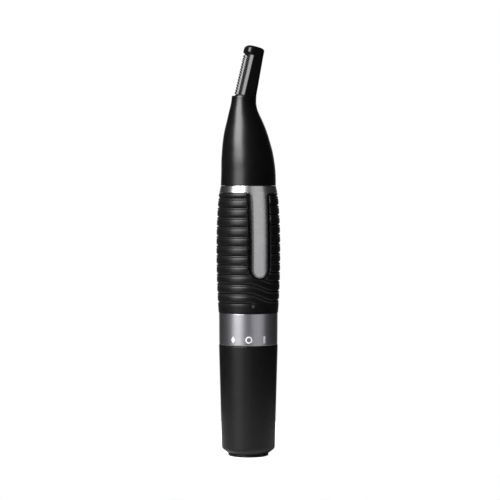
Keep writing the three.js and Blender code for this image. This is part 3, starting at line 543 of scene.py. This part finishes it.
# how finely the sheet is divided; columns in degrees, closer together round the tongues at front and back
gripMesh = dict(
    fineStep=0.75, coarseStep=2.0, fineWithin=30, lowRows=(0, 0.08, 0.2, 0.5, 1.2, 2.0, 2.5),
    past=0.2, closing=1,
    # rows within one rib, closer together where the shape turns
    ribRows=(
        0, 0.03, 0.06, 0.1, 0.16, 0.24, 0.36, 0.48, 0.6, 0.68, 0.72, 0.745, 0.77, 0.82, 0.88, 0.93, 0.97,
    ),
)

# each line: name, kind of sum, what goes in
gripSteps = """
    sine SINE angle
    cosine COSINE angle
    folded ARCSINE sine
    dropStart RADIANS dropFrom
    dropEnd RADIANS dropTo
    dropShare SMOOTHSTEP folded dropStart dropEnd
    fall MULTIPLY dropShare drop
    dropped SUBTRACT rise fall
    flatRise MINIMUM rise ribLow
    lifted MAXIMUM dropped flatRise
    height MINIMUM lifted high
    span SUBTRACT high low
    belowSpan MULTIPLY span middleShare
    middle ADD low belowSpan
    aboveSpan SUBTRACT high middle
    offset SUBTRACT height middle
    isAbove GREATER_THAN offset zero
    isBelow SUBTRACT one isAbove
    aboveShare DIVIDE offset aboveSpan
    belowShare DIVIDE offset belowSpan
    aboveSize ABSOLUTE aboveShare
    belowSize ABSOLUTE belowShare
    abovePart POWER aboveSize power
    belowPart POWER belowSize power
    aboveFall MULTIPLY abovePart aboveDrop
    belowFall MULTIPLY belowPart belowDrop
    aboveUsed MULTIPLY aboveFall isAbove
    belowUsed MULTIPLY belowFall isBelow
    crestFall ADD aboveUsed belowUsed
    crest SUBTRACT peak crestFall
    fromFirst SUBTRACT rise firstGroove
    turnsUp DIVIDE fromFirst pitch
    along FRACT turnsUp
    rib SHAPE along
    hollow SUBTRACT one rib
    ribTop ADD ribLow ribFade
    lowFade SMOOTHSTEP height ribLow ribTop
    lipLow SUBTRACT high lip
    lipShare SMOOTHSTEP height lipLow high
    highFade SUBTRACT one lipShare
    fade MULTIPLY lowFade highFade
    hollowUsed MULTIPLY hollow fade
    relief MULTIPLY hollowUsed grooveDepth
    ribbed SUBTRACT crest relief
    lipFall MULTIPLY lipShare lipDepth
    skin SUBTRACT ribbed lipFall
    across MULTIPLY crest sine
    acrossSquared MULTIPLY across across
    under SUBTRACT channelEnd height
    underUsed MAXIMUM under zero
    underSquared MULTIPLY underUsed underUsed
    squares ADD acrossSquared underSquared
    fromLine SQRT squares
    toChannel SUBTRACT fromLine channelHalf
    endShare LINEAR toChannel zero channelSoft
    ribEnd SHAPE endShare
    proud SUBTRACT skin channelFloor
    proudUsed MULTIPLY proud ribEnd
    outside ADD channelFloor proudUsed
    toInner SUBTRACT inner outside
    innerUsed MULTIPLY toInner inside
    radius ADD outside innerUsed
    x MULTIPLY radius sine
    yFront MULTIPLY radius cosine
    y SUBTRACT zero yFront
"""


# x is the angle in radians, y the height before the ribs drop, z is 1 on the inner wall
def gripSheet():
    g, m = grip, gripMesh
    angles, angle = [], -180.0
    while angle < 180:
        angles.append(math.radians(angle))
        nearTongue = min(abs(angle), 180 - abs(angle)) < m["fineWithin"]
        angle += m["fineStep"] if nearTongue else m["coarseStep"]
    top = g["high"] + g["drop"]
    heights = [g["low"] + rise for rise in m["lowRows"]]
    turn = math.floor((g["ribLow"] - g["firstGroove"]) / g["pitch"])
    while heights[-1] < top + m["past"]:
        starts = [g["firstGroove"] + (turn + share) * g["pitch"] for share in m["ribRows"]]
        heights += [height for height in starts if height > g["ribLow"]]
        turn += 1
    rows = [[(a, g["low"], 1.0) for a in angles]]
    rows += [[(a, height, 0.0) for a in angles] for height in heights]
    rows += [[(a, top + m["closing"], 1.0) for a in angles]]
    points, faces = loft(rows)
    count, last = len(angles), (len(rows) - 1) * len(angles)
    faces += [(last + j, last + (j + 1) % count, (j + 1) % count, j) for j in range(count)]
    return linked("ribbed_grip", plainMesh("ribbed_grip", points, faces, 1))


# a geometry tree with one input for each size, a finish input and a geometry socket at each end
def sizedTree(name, sizes):
    tree = bpy.data.node_groups.new(name, "GeometryNodeTree")
    face = tree.interface
    face.new_socket("Geometry", in_out="INPUT", socket_type="NodeSocketGeometry")
    for size, value in sizes.items():
        kind = "NodeSocketInt" if isinstance(value, int) else "NodeSocketFloat"
        face.new_socket(size, in_out="INPUT", socket_type=kind).default_value = value
    face.new_socket("finish", in_out="INPUT", socket_type="NodeSocketMaterial")
    face.new_socket("Geometry", in_out="OUTPUT", socket_type="NodeSocketGeometry")
    return tree, addNode(tree, "NodeGroupInput").outputs


# turns each line of the steps into a node and adds its result to the known values
def addSteps(tree, known, steps, shapes=None):
    for line in steps.strip().splitlines():
        name, kind, *names = line.split()
        values = [known[n] for n in names]
        if kind in ("SMOOTHSTEP", "LINEAR"):
            ends = dict(zip(("Value", "From Min", "From Max"), values))
            node = addNode(tree, "ShaderNodeMapRange", ends, interpolation_type=kind)
        elif kind == "SHAPE":
            node = addNode(tree, "ShaderNodeFloatCurve", {"Value": values[0]})
            curve = node.mapping.curves[0]
            while len(curve.points) < len(shapes[name]):
                curve.points.new(0.5, 0.5)
            for point, where in zip(curve.points, shapes[name]):
                point.location = where
            node.mapping.update()
        else:
            node = addNode(tree, "ShaderNodeMath", dict(enumerate(values)), operation=kind)
        known[name] = node.outputs[0]


# ends a tree: real meshes, the finish, the output
def addEnd(tree, source, made):
    plain = addNode(tree, "GeometryNodeRealizeInstances", {"Geometry": made})
    coated = addNode(tree, "GeometryNodeSetMaterial", {"Geometry": plain, "Material": source["finish"]})
    addNode(tree, "NodeGroupOutput", {"Geometry": coated})


def gripTree():
    tree, source = sizedTree("ribbed grip", {size: float(value) for size, value in grip.items()})
    split = addNode(tree, "ShaderNodeSeparateXYZ", {0: addNode(tree, "GeometryNodeInputPosition")}).outputs
    known = {size: source[size] for size in grip}
    known.update(angle=split["X"], rise=split["Y"], inside=split["Z"], zero=0.0, one=1.0)
    addSteps(tree, known, gripSteps, {"rib": ribShape, "ribEnd": ribEndShape})
    at = addNode(tree, "ShaderNodeCombineXYZ", {"X": known["x"], "Y": known["y"], "Z": known["height"]})
    sized = addNode(tree, "ShaderNodeVectorMath", {0: at, "Scale": mm}, operation="SCALE")
    moved = addNode(tree, "GeometryNodeSetPosition", {"Geometry": source["Geometry"], "Position": sized})
    merged = addNode(tree, "GeometryNodeMergeByDistance", {"Geometry": moved, "Distance": 2e-3 * mm})
    addEnd(tree, source, merged)
    return tree


# adds the tree and sets its inputs by identifier before anything is evaluated
def withNodes(obj, tree, values):
    modifier = obj.modifiers.new(tree.name, "NODES")
    modifier.node_group = tree
    for item in tree.interface.items_tree:
        if item.in_out == "INPUT" and item.name in values:
            modifier[item.identifier] = values[item.name]
    return applied(obj)


def gripPiece():
    return withNodes(gripSheet(), gripTree(), {**grip, "finish": materials["grip_rubber"]})


# radius over the ribs at a height, as in the steps above
def crestAt(height):
    g = grip
    middle = g["low"] + g["middleShare"] * (g["high"] - g["low"])
    if height < middle:
        return g["peak"] - g["belowDrop"] * ((middle - height) / (middle - g["low"])) ** g["power"]
    return g["peak"] - g["aboveDrop"] * ((height - middle) / (g["high"] - middle)) ** g["power"]


# a small domed pip that stands on the plain band under the ribs
pip = dict(
    radius=0.5, proud=0.1, height=51.6, turn=-12.4,
    # share of the radius, share of the height above the band
    dome=((0.02, -0.3), (1, -0.3), (1, 0.25), (0.93, 0.6), (0.75, 0.85), (0.4, 1.0), (0.02, 1.0)),
)


def gripPip():
    angle = math.radians(pip["turn"] - 90)
    ground = crestAt(pip["height"])
    rows = []
    for share, lift in pip["dome"]:
        radius = ground + pip["proud"] * lift
        row = []
        for across, up, _ in turnedLoop(pip["radius"] * share, 0, 32):
            a = angle + across / ground
            row.append((radius * math.cos(a), radius * math.sin(a), pip["height"] + up))
        rows.append(row)
    return meshObject("grip_pip", *cappedLoft(rows))


place(gripPiece(), "main_body", ["rubber_grip"], "grip_rubber", materials["grip_rubber"])
# the pip's grey is a painted highlight on its dome
place(gripPip(), "main_body", ["grip_dot"], "mark_paint", materials["pip_highlight_ink"])


# trim collar with its two tongues

collar = dict(
    inner=8.9, low=90.0, high=92.46, lowRadius=9.95, highRadius=9.43, edge=0.22,
    half=2.92, end=61.2, fillet=1.3, back=9.3, bevel=0.6, bevelDrop=0.085, top=90.7, flush=0.012,
    # over this height the tongue's skin eases from the ribs' crest to the collar; above it leans in
    ease=2.5, topLean=0.2, join=0.02, widest=0.9, filletSteps=8, straightSteps=40, endSteps=16, columns=12,
)
# share of the bevel's width, share of its drop
bevelSteps = [(0, 1.0), (0.25, 0.73), (0.5, 0.46), (0.75, 0.2), (0.9, 0.06), (1.0, 0.0)]


# right half of the outline at this inset, from the collar down to the bottom of the tongue
def tongueEdge(inset):
    c = collar
    half, centre = c["half"] - inset, c["end"] + c["half"]
    straightTop = c["low"] + c["join"] - c["fillet"]
    reach = c["fillet"] + inset
    points = [(half + reach, c["top"])]
    for k in range(c["filletSteps"] + 1):
        a = math.pi / 2 * (1 - k / c["filletSteps"])
        points.append((c["half"] + c["fillet"] - reach * math.cos(a), straightTop + reach * math.sin(a)))
    steps = c["straightSteps"]
    points += [(half, straightTop + (centre - straightTop) * k / steps) for k in range(1, steps + 1)]
    for k in range(1, c["endSteps"] + 1):
        a = math.pi / 2 * k / c["endSteps"]
        points.append((half * math.cos(a), centre - half * math.sin(a)))
    return points


# side is 1 at the front and -1 at the back; the back of the tongue stays open
def tongueFaces(side):
    c = collar
    loops = [tongueEdge(share * c["bevel"]) for share, _ in bevelSteps]
    columns = c["columns"]
    rows = []
    for i in range(len(loops[0])):
        right = [(loop[i], drop * c["bevelDrop"]) for loop, (_, drop) in zip(loops, bevelSteps)]
        inner = right[-1][0]
        middle = [((inner[0] * (1 - 2 * k / columns), inner[1]), 0.0) for k in range(1, columns)]
        left = [((-x, z), drop) for (x, z), drop in reversed(right)]
        rows.append(right + middle + left)
    width = len(rows[0])
    points = []
    for row in rows:
        for (x, z), drop in row:
            skin = crestAt(min(z, grip["high"])) - drop
            above = smoothstep(z, c["low"] - c["ease"], c["low"])
            skin += (c["lowRadius"] - c["flush"] - skin) * above
            if z > c["low"]:
                skin = c["lowRadius"] - c["flush"] - (z - c["low"]) * c["topLean"]
            x = max(min(x, skin * c["widest"]), -skin * c["widest"])
            points.append((x, side * -math.sqrt(skin * skin - x * x), z))
    faces = []
    for i in range(len(rows) - 1):
        for j in range(width - 1):
            a = i * width + j
            faces.append((a, a + 1, a + 1 + width, a + width))
    # edge walls down to the back, along the rim
    rim = [i * width for i in range(len(rows))]
    rim += [(len(rows) - 1) * width + j for j in range(1, width)]
    rim += [i * width + width - 1 for i in range(len(rows) - 2, -1, -1)]
    rim += [j for j in range(width - 2, 0, -1)]
    base = len(points)
    for index in rim:
        x, _, z = points[index]
        points.append((x, side * -math.sqrt(c["back"] ** 2 - x * x), z))
    count = len(rim)
    faces += [(rim[k], rim[(k + 1) % count], base + (k + 1) % count, base + k) for k in range(count)]
    return points, faces


# the same with its back closed
def tongueSolid(name, side):
    mesh = plainMesh(name, *tongueFaces(side))
    soup = bmesh.new()
    soup.from_mesh(mesh)
    bmesh.ops.remove_doubles(soup, verts=soup.verts, dist=2e-4 * mm)
    openEdges = [e for e in soup.edges if len(e.link_faces) == 1]
    bmesh.ops.holes_fill(soup, edges=openEdges, sides=0)
    bmesh.ops.triangulate(soup, faces=[f for f in soup.faces if len(f.verts) > 4])
    soup.to_mesh(mesh)
    soup.free()
    return finished(mesh, name, 50)


def collarPiece():
    c = collar
    band = turnedPiece("silver_collar", [
        (c["inner"], c["low"], 0), (c["lowRadius"], c["low"], c["edge"]),
        (c["highRadius"], c["high"], c["edge"]), (c["inner"], c["high"], 0)], sides=256, smoothAngle=50)
    tongues = [tongueSolid("front tongue", 1), tongueSolid("rear tongue", -1)]
    return combined(band, tongues, "UNION", 24)


place(collarPiece(), "main_body", ["trim_collar"], "silver_trim", materials["silver_trim"])


# head shell: round sections that shrink and lean towards the neck

head = dict(
    bottom=92.5, radius=9.43, wall=1.2, shoulder=0.2, edge=0.2, sides=192, rows=90,
    mouth=3.2, mouthDeep=3, mouthTaper=0.98, boreStop=5, boreRadius=8.23, boreRows=30,
    # height, radius taken off, lean to the side
    sections=[
        (0, 0, 0), (4.8, 0.15, 0), (8.2, 0.35, -0.2), (11.6, 0.76, -0.42), (15, 1.38, -0.76),
        (18.5, 2.2, -1.05), (21.9, 3.3, -1.35), (25.3, 4.48, -1.77), (27.4, 5.02, -1.78),
        (29.0, 5.2, -1.68), (30.55, 5.22, -1.54),
    ],
)


# value at a height on a smooth line through (height, value) keys
def smoothLine(keys, at):
    count = len(keys)
    i = max(k for k in range(count - 1) if keys[k][0] <= at or k == 0)
    (x1, y1), (x2, y2) = keys[i], keys[i + 1]
    t = min(max((at - x1) / (x2 - x1), 0), 1)

    def slope(k):
        low, high = max(k - 1, 0), min(k + 1, count - 1)
        return (keys[high][1] - keys[low][1]) / (keys[high][0] - keys[low][0])

    m1, m2 = slope(i) * (x2 - x1), slope(i + 1) * (x2 - x1)
    return ((2 * t**3 - 3 * t**2 + 1) * y1 + (t**3 - 2 * t**2 + t) * m1
            + (3 * t**2 - 2 * t**3) * y2 + (t**3 - t**2) * m2)


# radius and lean at a height above the head's lower edge
def headAt(rise):
    less = smoothLine([(z, r) for z, r, _ in head["sections"]], rise)
    lean = smoothLine([(z, s) for z, _, s in head["sections"]], rise)
    return head["radius"] - less, lean


def headShell():
    h = head
    top = h["sections"][-1][0]
    outside, inside = [], []
    for k in range(h["rows"] + 1):
        rise = h["edge"] + (top - h["shoulder"] - h["edge"]) * k / h["rows"]
        outside.append((rise, *headAt(rise)))
    low = [(h["edge"] * (1 - math.sin(a)), headAt(0)[0] - h["edge"] * (1 - math.cos(a)), 0.0)
           for a in (math.pi / 2 * k / 6 for k in range(6, 0, -1))]
    shoulder = []
    radius, lean = headAt(top)
    for k in range(1, 9):
        a = math.pi / 2 * k / 8
        rise = top - h["shoulder"] * (1 - math.sin(a))
        shoulder.append((rise, radius - h["shoulder"] * (1 - math.cos(a)), lean))
    deep = top - h["mouthDeep"]
    mouth = [(top, h["mouth"], lean), (deep, h["mouth"] * h["mouthTaper"], headAt(deep)[1])]
    for k in range(h["boreRows"], -1, -1):
        rise = (top - h["boreStop"]) * k / h["boreRows"]
        radius, lean = headAt(rise)
        inside.append((rise, min(radius - h["wall"], h["boreRadius"]), lean))
    rows = [turnedLoop(radius, h["bottom"] + rise, h["sides"], lean)
            for rise, radius, lean in low + outside + shoulder + mouth + inside]
    rows.append(rows[0])
    return meshObject("head_casing", *loft(rows), smoothAngle=40)


place(headShell(), "head", ["head_shell"], "gloss_black", materials["gloss_black"])


# nozzle: its own frame has depth from the cutter face to the back, width across, and along the axis

nozzle = dict(
    origin=(-4.04, 0, 123.0), tilt=14, length=17.8, depth=6.07, taper=0.056, half=3.05, chamfer=1.7,
    chamferLow=0.1, chamferEnd=0.9, chamferRunOut=1.2, chamferSlope=0.82, chamferBulge=0.1, frontSoft=0.1,
    sideSoft=0.2, backRadius=1.5,
    bodyLow=-1.2, bodyStop=1.6, rows=60, flareLow=-0.9, flare=2.4, flareFront=1.2, flareBack=3.4,
    flareAxis=2.9, neckInset=0.12, neckGap=0.02, neckSize=12,
    plugRadius=3.15, plugDown=2.8, plugUp=0.3, plugRound=0.3,
    slotHalf=0.93, slotLow=0.2, slotReach=2, combTop=14.4,
    throatHalf=1.5, throatFront=1.6, throatBack=4.3, throatLow=-8, throatHigh=1,
    boreHalf=1.95, boreFront=0.85, boreWall=0.85, boreOver=0.6,
)
hood = dict(
    low=14.35, proud=1.05, over=0.02, under=0.45, backFrom=1.5, lipRound=1.2, round=1.1, backRound=1.0,
    cutterAcross=1.05, cutterDown=1.6, frontCorner=2.4, leastCorner=0.05,
    lipRise=0.6, lipHigh=1, lipFront=-1.2, lipBack=1.6,
)
nozzleFrame = Matrix.Translation(nozzle["origin"]) @ Matrix.Rotation(math.radians(nozzle["tilt"]), 4, "Y")


# how far in a rounded edge has come, from how deep into its height the point lies
def roundOver(deep, down, across):
    share = min(max(deep / down, 0), 1)
    return across * (1 - math.sqrt(1 - share * share))


# outline of (depth, width) at a distance along the axis, corners rounded; the chamfer runs out low down
def nozzleSection(along):
    n = nozzle
    back = n["depth"] - n["taper"] * along
    half = n["half"]
    toEnd = n["chamferLow"] + n["chamferEnd"] - along
    chamfer = n["chamfer"] - roundOver(toEnd, n["chamferEnd"], n["chamferRunOut"])
    run = Vector((n["chamferSlope"], 1)) * chamfer
    bulge = run / 2 + Vector((-1, n["chamferSlope"])) * n["chamferBulge"] * chamfer
    side = [(0, half - chamfer, n["frontSoft"]), (bulge.x, half - chamfer + bulge.y, 1),
            (run.x, half, n["sideSoft"]), (back, half, n["backRadius"])]
    return rounded(side + [(depth, -width, corner) for depth, width, corner in reversed(side)], 8)


# radius, lean and height of the head's upper end
def neckMouth():
    top = head["sections"][-1][0]
    return *headAt(top), head["bottom"] + top


def nozzleBody():
    n = nozzle
    rows = []
    neckRadius, neckLean, neckTop = neckMouth()
    reach = neckRadius - n["neckInset"]
    centre = nozzleFrame.inverted() @ Vector((neckLean, 0, neckTop))
    for k in range(n["rows"]):
        along = n["bodyLow"] + (n["length"] - n["bodyStop"] - n["bodyLow"]) * k / (n["rows"] - 1)
        row = []
        flare = 1 - smoothstep(along, n["flareLow"], n["flare"])
        for depth, width in nozzleSection(max(along, 0)):
            # the back and the sides ease out into the neck
            share = flare * flare * smoothstep(depth, n["flareFront"], n["flareBack"])
            angle = math.atan2(width, depth - n["flareAxis"])
            neck = Vector((centre.x + reach * math.cos(angle), reach * math.sin(angle)))
            point = Vector((depth, width)) * (1 - share) + neck * share
            row.append(nozzleFrame @ Vector((point.x, point.y, along)))
        rows.append(row)
    return meshObject("nozzle_casing", *cappedLoft(rows), smoothAngle=40)


# the closed tip: a block rounded on every edge, most on the cutter side, whose lip curves up there
def hoodBlock():
    n, h = nozzle, hood
    back = n["depth"] - n["taper"] * (n["length"] - h["backFrom"]) + h["over"]
    half, front = n["half"] + h["over"], -h["proud"]
    low, top = h["low"], n["length"]
    turns = [math.pi / 2 * k / 16 for k in range(17)]
    levels = [low + h["lipRound"] * (1 - math.cos(a)) for a in turns]
    levels += [top - h["cutterDown"] * (1 - math.sin(a)) for a in turns]
    rows = []
    for along in levels:
        over, under = along - top, low - along
        inset = roundOver(under + h["under"], h["under"], h["under"])
        lip = roundOver(under + h["lipRound"], h["lipRound"], h["lipRound"])
        cutterSide = front + lip + roundOver(over + h["cutterDown"], h["cutterDown"], h["cutterAcross"])
        backSide = back - inset - roundOver(over + h["backRound"], h["backRound"], h["backRound"])
        side = half - inset - roundOver(over + h["round"], h["round"], h["round"])
        frontCorner = max(h["frontCorner"] - inset, h["leastCorner"])
        backCorner = max(n["backRadius"] - inset, h["leastCorner"])
        outline = rounded([(cutterSide, side, frontCorner), (backSide, side, backCorner),
                           (backSide, -side, backCorner), (cutterSide, -side, frontCorner)], 10)
        toLip = max(low + h["lipHigh"] - along, 0)
        row = []
        for depth, width in outline:
            lift = h["lipRise"] * (1 - smoothstep(depth, h["lipFront"], h["lipBack"])) * toLip
            row.append(nozzleFrame @ Vector((depth, width, along + lift)))
        rows.append(row)
    return meshObject("hood", *cappedLoft(rows), smoothAngle=40)


def nozzlePiece():
    n = nozzle
    _, lean, neckTop = neckMouth()
    low, high, radius, size = neckTop - n["plugDown"], neckTop + n["plugUp"], n["plugRadius"], n["neckSize"]
    plug = turnedPiece(
        "plug", [(0, low, 0), (radius, low, n["plugRound"]), (radius, high, 0), (0, high, 0)], sides=64)
    plug.data.transform(Matrix.Translation((lean * mm, 0, 0)))
    below = boxMesh("below neck", (-size, -size, neckTop - size), (size, size, neckTop - n["neckGap"]))
    body = combined(nozzleBody(), [below], "DIFFERENCE", 40)
    body = combined(body, [hoodBlock(), plug], "UNION", 40)
    back = n["depth"] - n["boreWall"] - n["taper"] * n["length"]
    # cut: half its width, depth from and to, distance along the axis from and to
    hollows = {
        "comb slot": (n["slotHalf"], -n["slotReach"], n["slotReach"], n["slotLow"], n["combTop"]),
        "throat": (n["throatHalf"], n["throatFront"], n["throatBack"], n["throatLow"], n["throatHigh"]),
        "bore": (n["boreHalf"], n["boreFront"], back, n["slotLow"], n["combTop"] + n["boreOver"]),
    }
    cuts = [
        boxMesh(name, (front, -half, start), (rear, half, end), nozzleFrame)
        for name, (half, front, rear, start, end) in hollows.items()
    ]
    body = combined(body, cuts, "DIFFERENCE", 40)
    body.name = "nozzle_casing"
    return body


place(nozzlePiece(), "head", ["nozzle"], "gloss_black", materials["gloss_black"])


# guard comb: one strap, repeated along the slot and held by two rails

comb = dict(
    half=0.8, wall=0.3, crest=-1.0, toothRoot=-0.6, flangeFront=0.95, flangeBack=1.25, flangeHalf=1.6,
    low=0.5, high=14.1, pitch=0.93, gap=0.38, count=15,
    rootOver=0.1, crestWide=0.3, crestEdge=0.08, innerWide=0.05,
)


# cross-section of one tooth of the channel, from (depth, width) points, as thick as the tooth
def combStrap():
    c = comb
    root, crest, half, edge = c["toothRoot"] + c["rootOver"], c["crest"], c["half"], c["crestEdge"]
    outer = [(root, half), (crest + c["crestWide"], half), (crest + edge, half - edge),
             (crest, half - c["crestWide"])]
    inner = [(crest + c["wall"], half - c["wall"] - c["innerWide"]), (root, half - c["wall"])]
    outline = outer + [(d, -w) for d, w in reversed(outer)] + [(d, -w) for d, w in reversed(inner)] + inner
    thick = c["pitch"] - c["gap"]
    return cappedLoft([[(d, w, z) for d, w in outline] for z in (-thick / 2, thick / 2)])


combUses = (
    "count", "pitch", "low", "high", "half", "wall", "toothRoot", "flangeFront", "flangeBack", "flangeHalf",
)
combSteps = """
    wallIn SUBTRACT half wall
    railCentre ADD half wallIn
    railY DIVIDE railCentre two
    railDeep SUBTRACT flangeBack toothRoot
    railSum ADD flangeBack toothRoot
    railX DIVIDE railSum two
    long SUBTRACT high low
    middleSum ADD high low
    middle DIVIDE middleSum two
    flangeWide SUBTRACT flangeHalf wallIn
    flangeYSum ADD flangeHalf wallIn
    flangeY DIVIDE flangeYSum two
    flangeThick SUBTRACT flangeBack flangeFront
    flangeXSum ADD flangeBack flangeFront
    flangeX DIVIDE flangeXSum two
    railYBack MULTIPLY railY minus
    flangeYBack MULTIPLY flangeY minus
"""
# each rail and flange: depth, width and where its middle lies
combBars = [
    ("railDeep", "wall", "railX", "railY"), ("railDeep", "wall", "railX", "railYBack"),
    ("flangeThick", "flangeWide", "flangeX", "flangeY"),
    ("flangeThick", "flangeWide", "flangeX", "flangeYBack"),
]


def combTree(sizes):
    tree, source = sizedTree("comb teeth", sizes)
    known = {size: source[size] for size in sizes}
    known.update(two=2.0, minus=-1.0)
    addSteps(tree, known, combSteps)
    firstAt = addNode(tree, "ShaderNodeCombineXYZ", {"Z": known["first"]})
    stepBy = addNode(tree, "ShaderNodeCombineXYZ", {"Z": known["pitch"]})
    line = addNode(tree, "GeometryNodeMeshLine", {
        "Count": known["count"], "Start Location": firstAt, "Offset": stepBy})
    tooth = source["Geometry"]
    parts = [addNode(tree, "GeometryNodeInstanceOnPoints", {"Points": line, "Instance": tooth})]
    for deep, wide, x, y in combBars:
        deep, wide, x, y = known[deep], known[wide], known[x], known[y]
        size = addNode(tree, "ShaderNodeCombineXYZ", {"X": deep, "Y": wide, "Z": known["long"]})
        at = addNode(tree, "ShaderNodeCombineXYZ", {"X": x, "Y": y, "Z": known["middle"]})
        bar = addNode(tree, "GeometryNodeMeshCube", {"Size": size})
        parts.append(addNode(tree, "GeometryNodeTransform", {"Geometry": bar, "Translation": at}))
    joined = addNode(tree, "GeometryNodeJoinGeometry")
    for part in parts:
        tree.links.new(part.outputs[0], joined.inputs[0])
    addEnd(tree, source, joined)
    return tree


def combPiece():
    c = comb
    tooth = linked("tooth_guard", plainMesh("tooth_guard", *combStrap(), 1))
    sizes = {name: value for name, value in c.items() if name in combUses}
    sizes["first"] = (c["low"] + c["high"] - (c["count"] - 1) * c["pitch"]) / 2
    made = withNodes(tooth, combTree(sizes), {**sizes, "finish": materials["steel"]})
    made.data.transform(Matrix.Scale(mm, 4) @ nozzleFrame)
    return made


place(combPiece(), "head", ["guard_comb"], "steel", materials["steel"])


# inner parts that show when the cover or the head is off: the same shapes with their edges broken

softened = {
    # body: node and edge size in mm
    "battery_cover": dict(cell_can=0.3, cell_cap=0.15, cell_spring=0, cover_contact=0.04),
    "switch_rotor": dict(switch_ring=0.12, wiper_contact=0.04),
    "main_body": dict(chassis_tube=0.12, cover_seal=0, motor_can=0.15, motor_end_cap=0.1, splash_seal=0.06,
                      positive_contact=0.04, negative_strip=0.04),
    "motor_rotor": dict(motor_shaft=0.06, crank_hub=0.08),
    "head": dict(head_frame=0.12, head_seal=0, lever_pin=0.06),
    "drive_lever": dict(drive_lever=0.1),
    "cutter": dict(moving_blade=0.03, blade_carrier=0.06),
}
flatWithin, breakOver = math.radians(1), math.radians(34)


def softPiece(nodeName, size):
    source = frame["nodes"][nodeName]
    mesh = source.data.copy()
    mesh.transform(source.matrix_world)
    soup = bmesh.new()
    soup.from_mesh(mesh)
    bmesh.ops.remove_doubles(soup, verts=soup.verts, dist=1e-3 * mm)
    bmesh.ops.dissolve_limit(soup, angle_limit=flatWithin, verts=soup.verts, edges=soup.edges)
    soup.to_mesh(mesh)
    soup.free()
    obj = linked("soft_" + nodeName, mesh)
    if size:
        edge = obj.modifiers.new("broken edges", "BEVEL")
        edge.width, edge.segments = size * mm, 2
        edge.limit_method, edge.angle_limit = "ANGLE", breakOver
    return applied(obj, 32, turnOut=False)


slots = {row["node"]: row["material_slot"] for row in frame["record"]["subparts"]}
for bodyName, parts in softened.items():
    for partName, edgeSize in parts.items():
        slotName = slots[partName]
        place(softPiece(partName, edgeSize), bodyName, [partName], slotName, materials[slotName])


# the rest keep their own meshes and take their finishes

for nodeName, nodeObject in frame["nodes"].items():
    if not nodeObject.hide_render:
        nodeObject.data.materials.clear()
        nodeObject.data.materials.append(materials[slots[nodeName]])
print("inner parts finished")


# stage: pale floor, white surroundings, soft boxes at the left, a fill for the trim and one behind

stage = dict(
    floorRadius=90, floorColour="#f4f4f4", floorGlow=0.95, background=1.0, ambient=0.03,
    target=(0, 0, 80), cameraAngle=-22,
    # angle from the camera, elevation, distance, width, height in mm, strength in W
    lamps={
        "key": (-42, 33, 700, 480, 565, 8.1), "low key": (-42, 0, 700, 480, 272, 0.8),
        "trim fill": (38, 10, 700, 653, 808, 1.16), "rim": (180, 10, 900, 900, 900, 0.9),
    },
    trimFillOn=("silver_ring", "silver_collar", "tooth_guard"),
)


def softBox(name, angle, elevation, distance, width, height, power):
    lamp = bpy.data.lights.new(name, "AREA")
    lamp.shape = "RECTANGLE"
    lamp.size, lamp.size_y, lamp.energy = width * mm, height * mm, power
    obj = linked(name, lamp)
    a, e = math.radians(stage["cameraAngle"] + angle), math.radians(elevation)
    toward = Vector((math.sin(a) * math.cos(e), -math.cos(a) * math.cos(e), math.sin(e)))
    target = Vector(stage["target"])
    obj.location = (target + toward * distance) * mm
    obj.rotation_euler = toward.to_track_quat("Z", "Y").to_euler()
    obj.visible_camera = False
    return obj


def seenByCamera(tree):
    return addNode(tree, "ShaderNodeLightPath").outputs["Is Camera Ray"]


def studio():
    s = stage
    floor = meshObject("floor", turnedLoop(s["floorRadius"], 0, 96), [tuple(range(96))])
    paper = bpy.data.materials.new("matt white paper")
    paper.use_nodes = True
    shader = paper.node_tree.nodes["Principled BSDF"]
    shader.inputs["Base Color"].default_value = linear(s["floorColour"])
    shader.inputs["Roughness"].default_value = 0.9
    shader.inputs["Emission Color"].default_value = (1, 1, 1, 1)
    seen = seenByCamera(paper.node_tree)
    glow = addNode(paper.node_tree, "ShaderNodeMath", {0: seen, 1: s["floorGlow"]}, operation="MULTIPLY")
    paper.node_tree.links.new(glow.outputs[0], shader.inputs["Emission Strength"])
    paper.cycles.emission_sampling = "NONE"  # the glow is for the camera alone
    floor.data.materials.append(paper)
    lamps = {name: softBox(name, *values) for name, values in s["lamps"].items()}
    # the fill reaches the bright trim alone, so the blacks keep a single streak
    trim = bpy.data.collections.new("bright trim")
    for name in s["trimFillOn"]:
        trim.objects.link(bpy.data.objects[name])
    lamps["trim fill"].light_linking.receiver_collection = trim
    world = bpy.data.worlds.new("studio")
    bpy.context.scene.world = world
    world.use_nodes = True
    tree = world.node_tree
    tree.nodes.clear()
    seen = seenByCamera(tree)
    strength = addNode(tree, "ShaderNodeMapRange", {
        "Value": seen, "To Min": s["ambient"], "To Max": s["background"]}).outputs["Result"]
    light = addNode(tree, "ShaderNodeBackground", {"Color": (1, 1, 1, 1), "Strength": strength})
    addNode(tree, "ShaderNodeOutputWorld", {"Surface": light})
    bpy.context.scene.view_settings.view_transform = "Standard"


# angle in degrees round the object; the aim is a point near its axis
view = dict(angle=-22, height=93, distance=630, aimHeight=70.45, aimAside=0.56, lens=132.6, sensor=36)


def camera():
    data = bpy.data.cameras.new("camera")
    data.lens, data.sensor_width = view["lens"], view["sensor"]
    obj = linked("camera", data)
    a = math.radians(view["angle"])
    spot = Vector((math.sin(a) * view["distance"], -math.cos(a) * view["distance"], view["height"]))
    aim = Vector((math.cos(a) * view["aimAside"], math.sin(a) * view["aimAside"], view["aimHeight"]))
    obj.location = spot * mm
    obj.rotation_euler = (spot - aim).to_track_quat("Z", "Y").to_euler()
    bpy.context.scene.camera = obj


studio()
camera()
print("stage set")
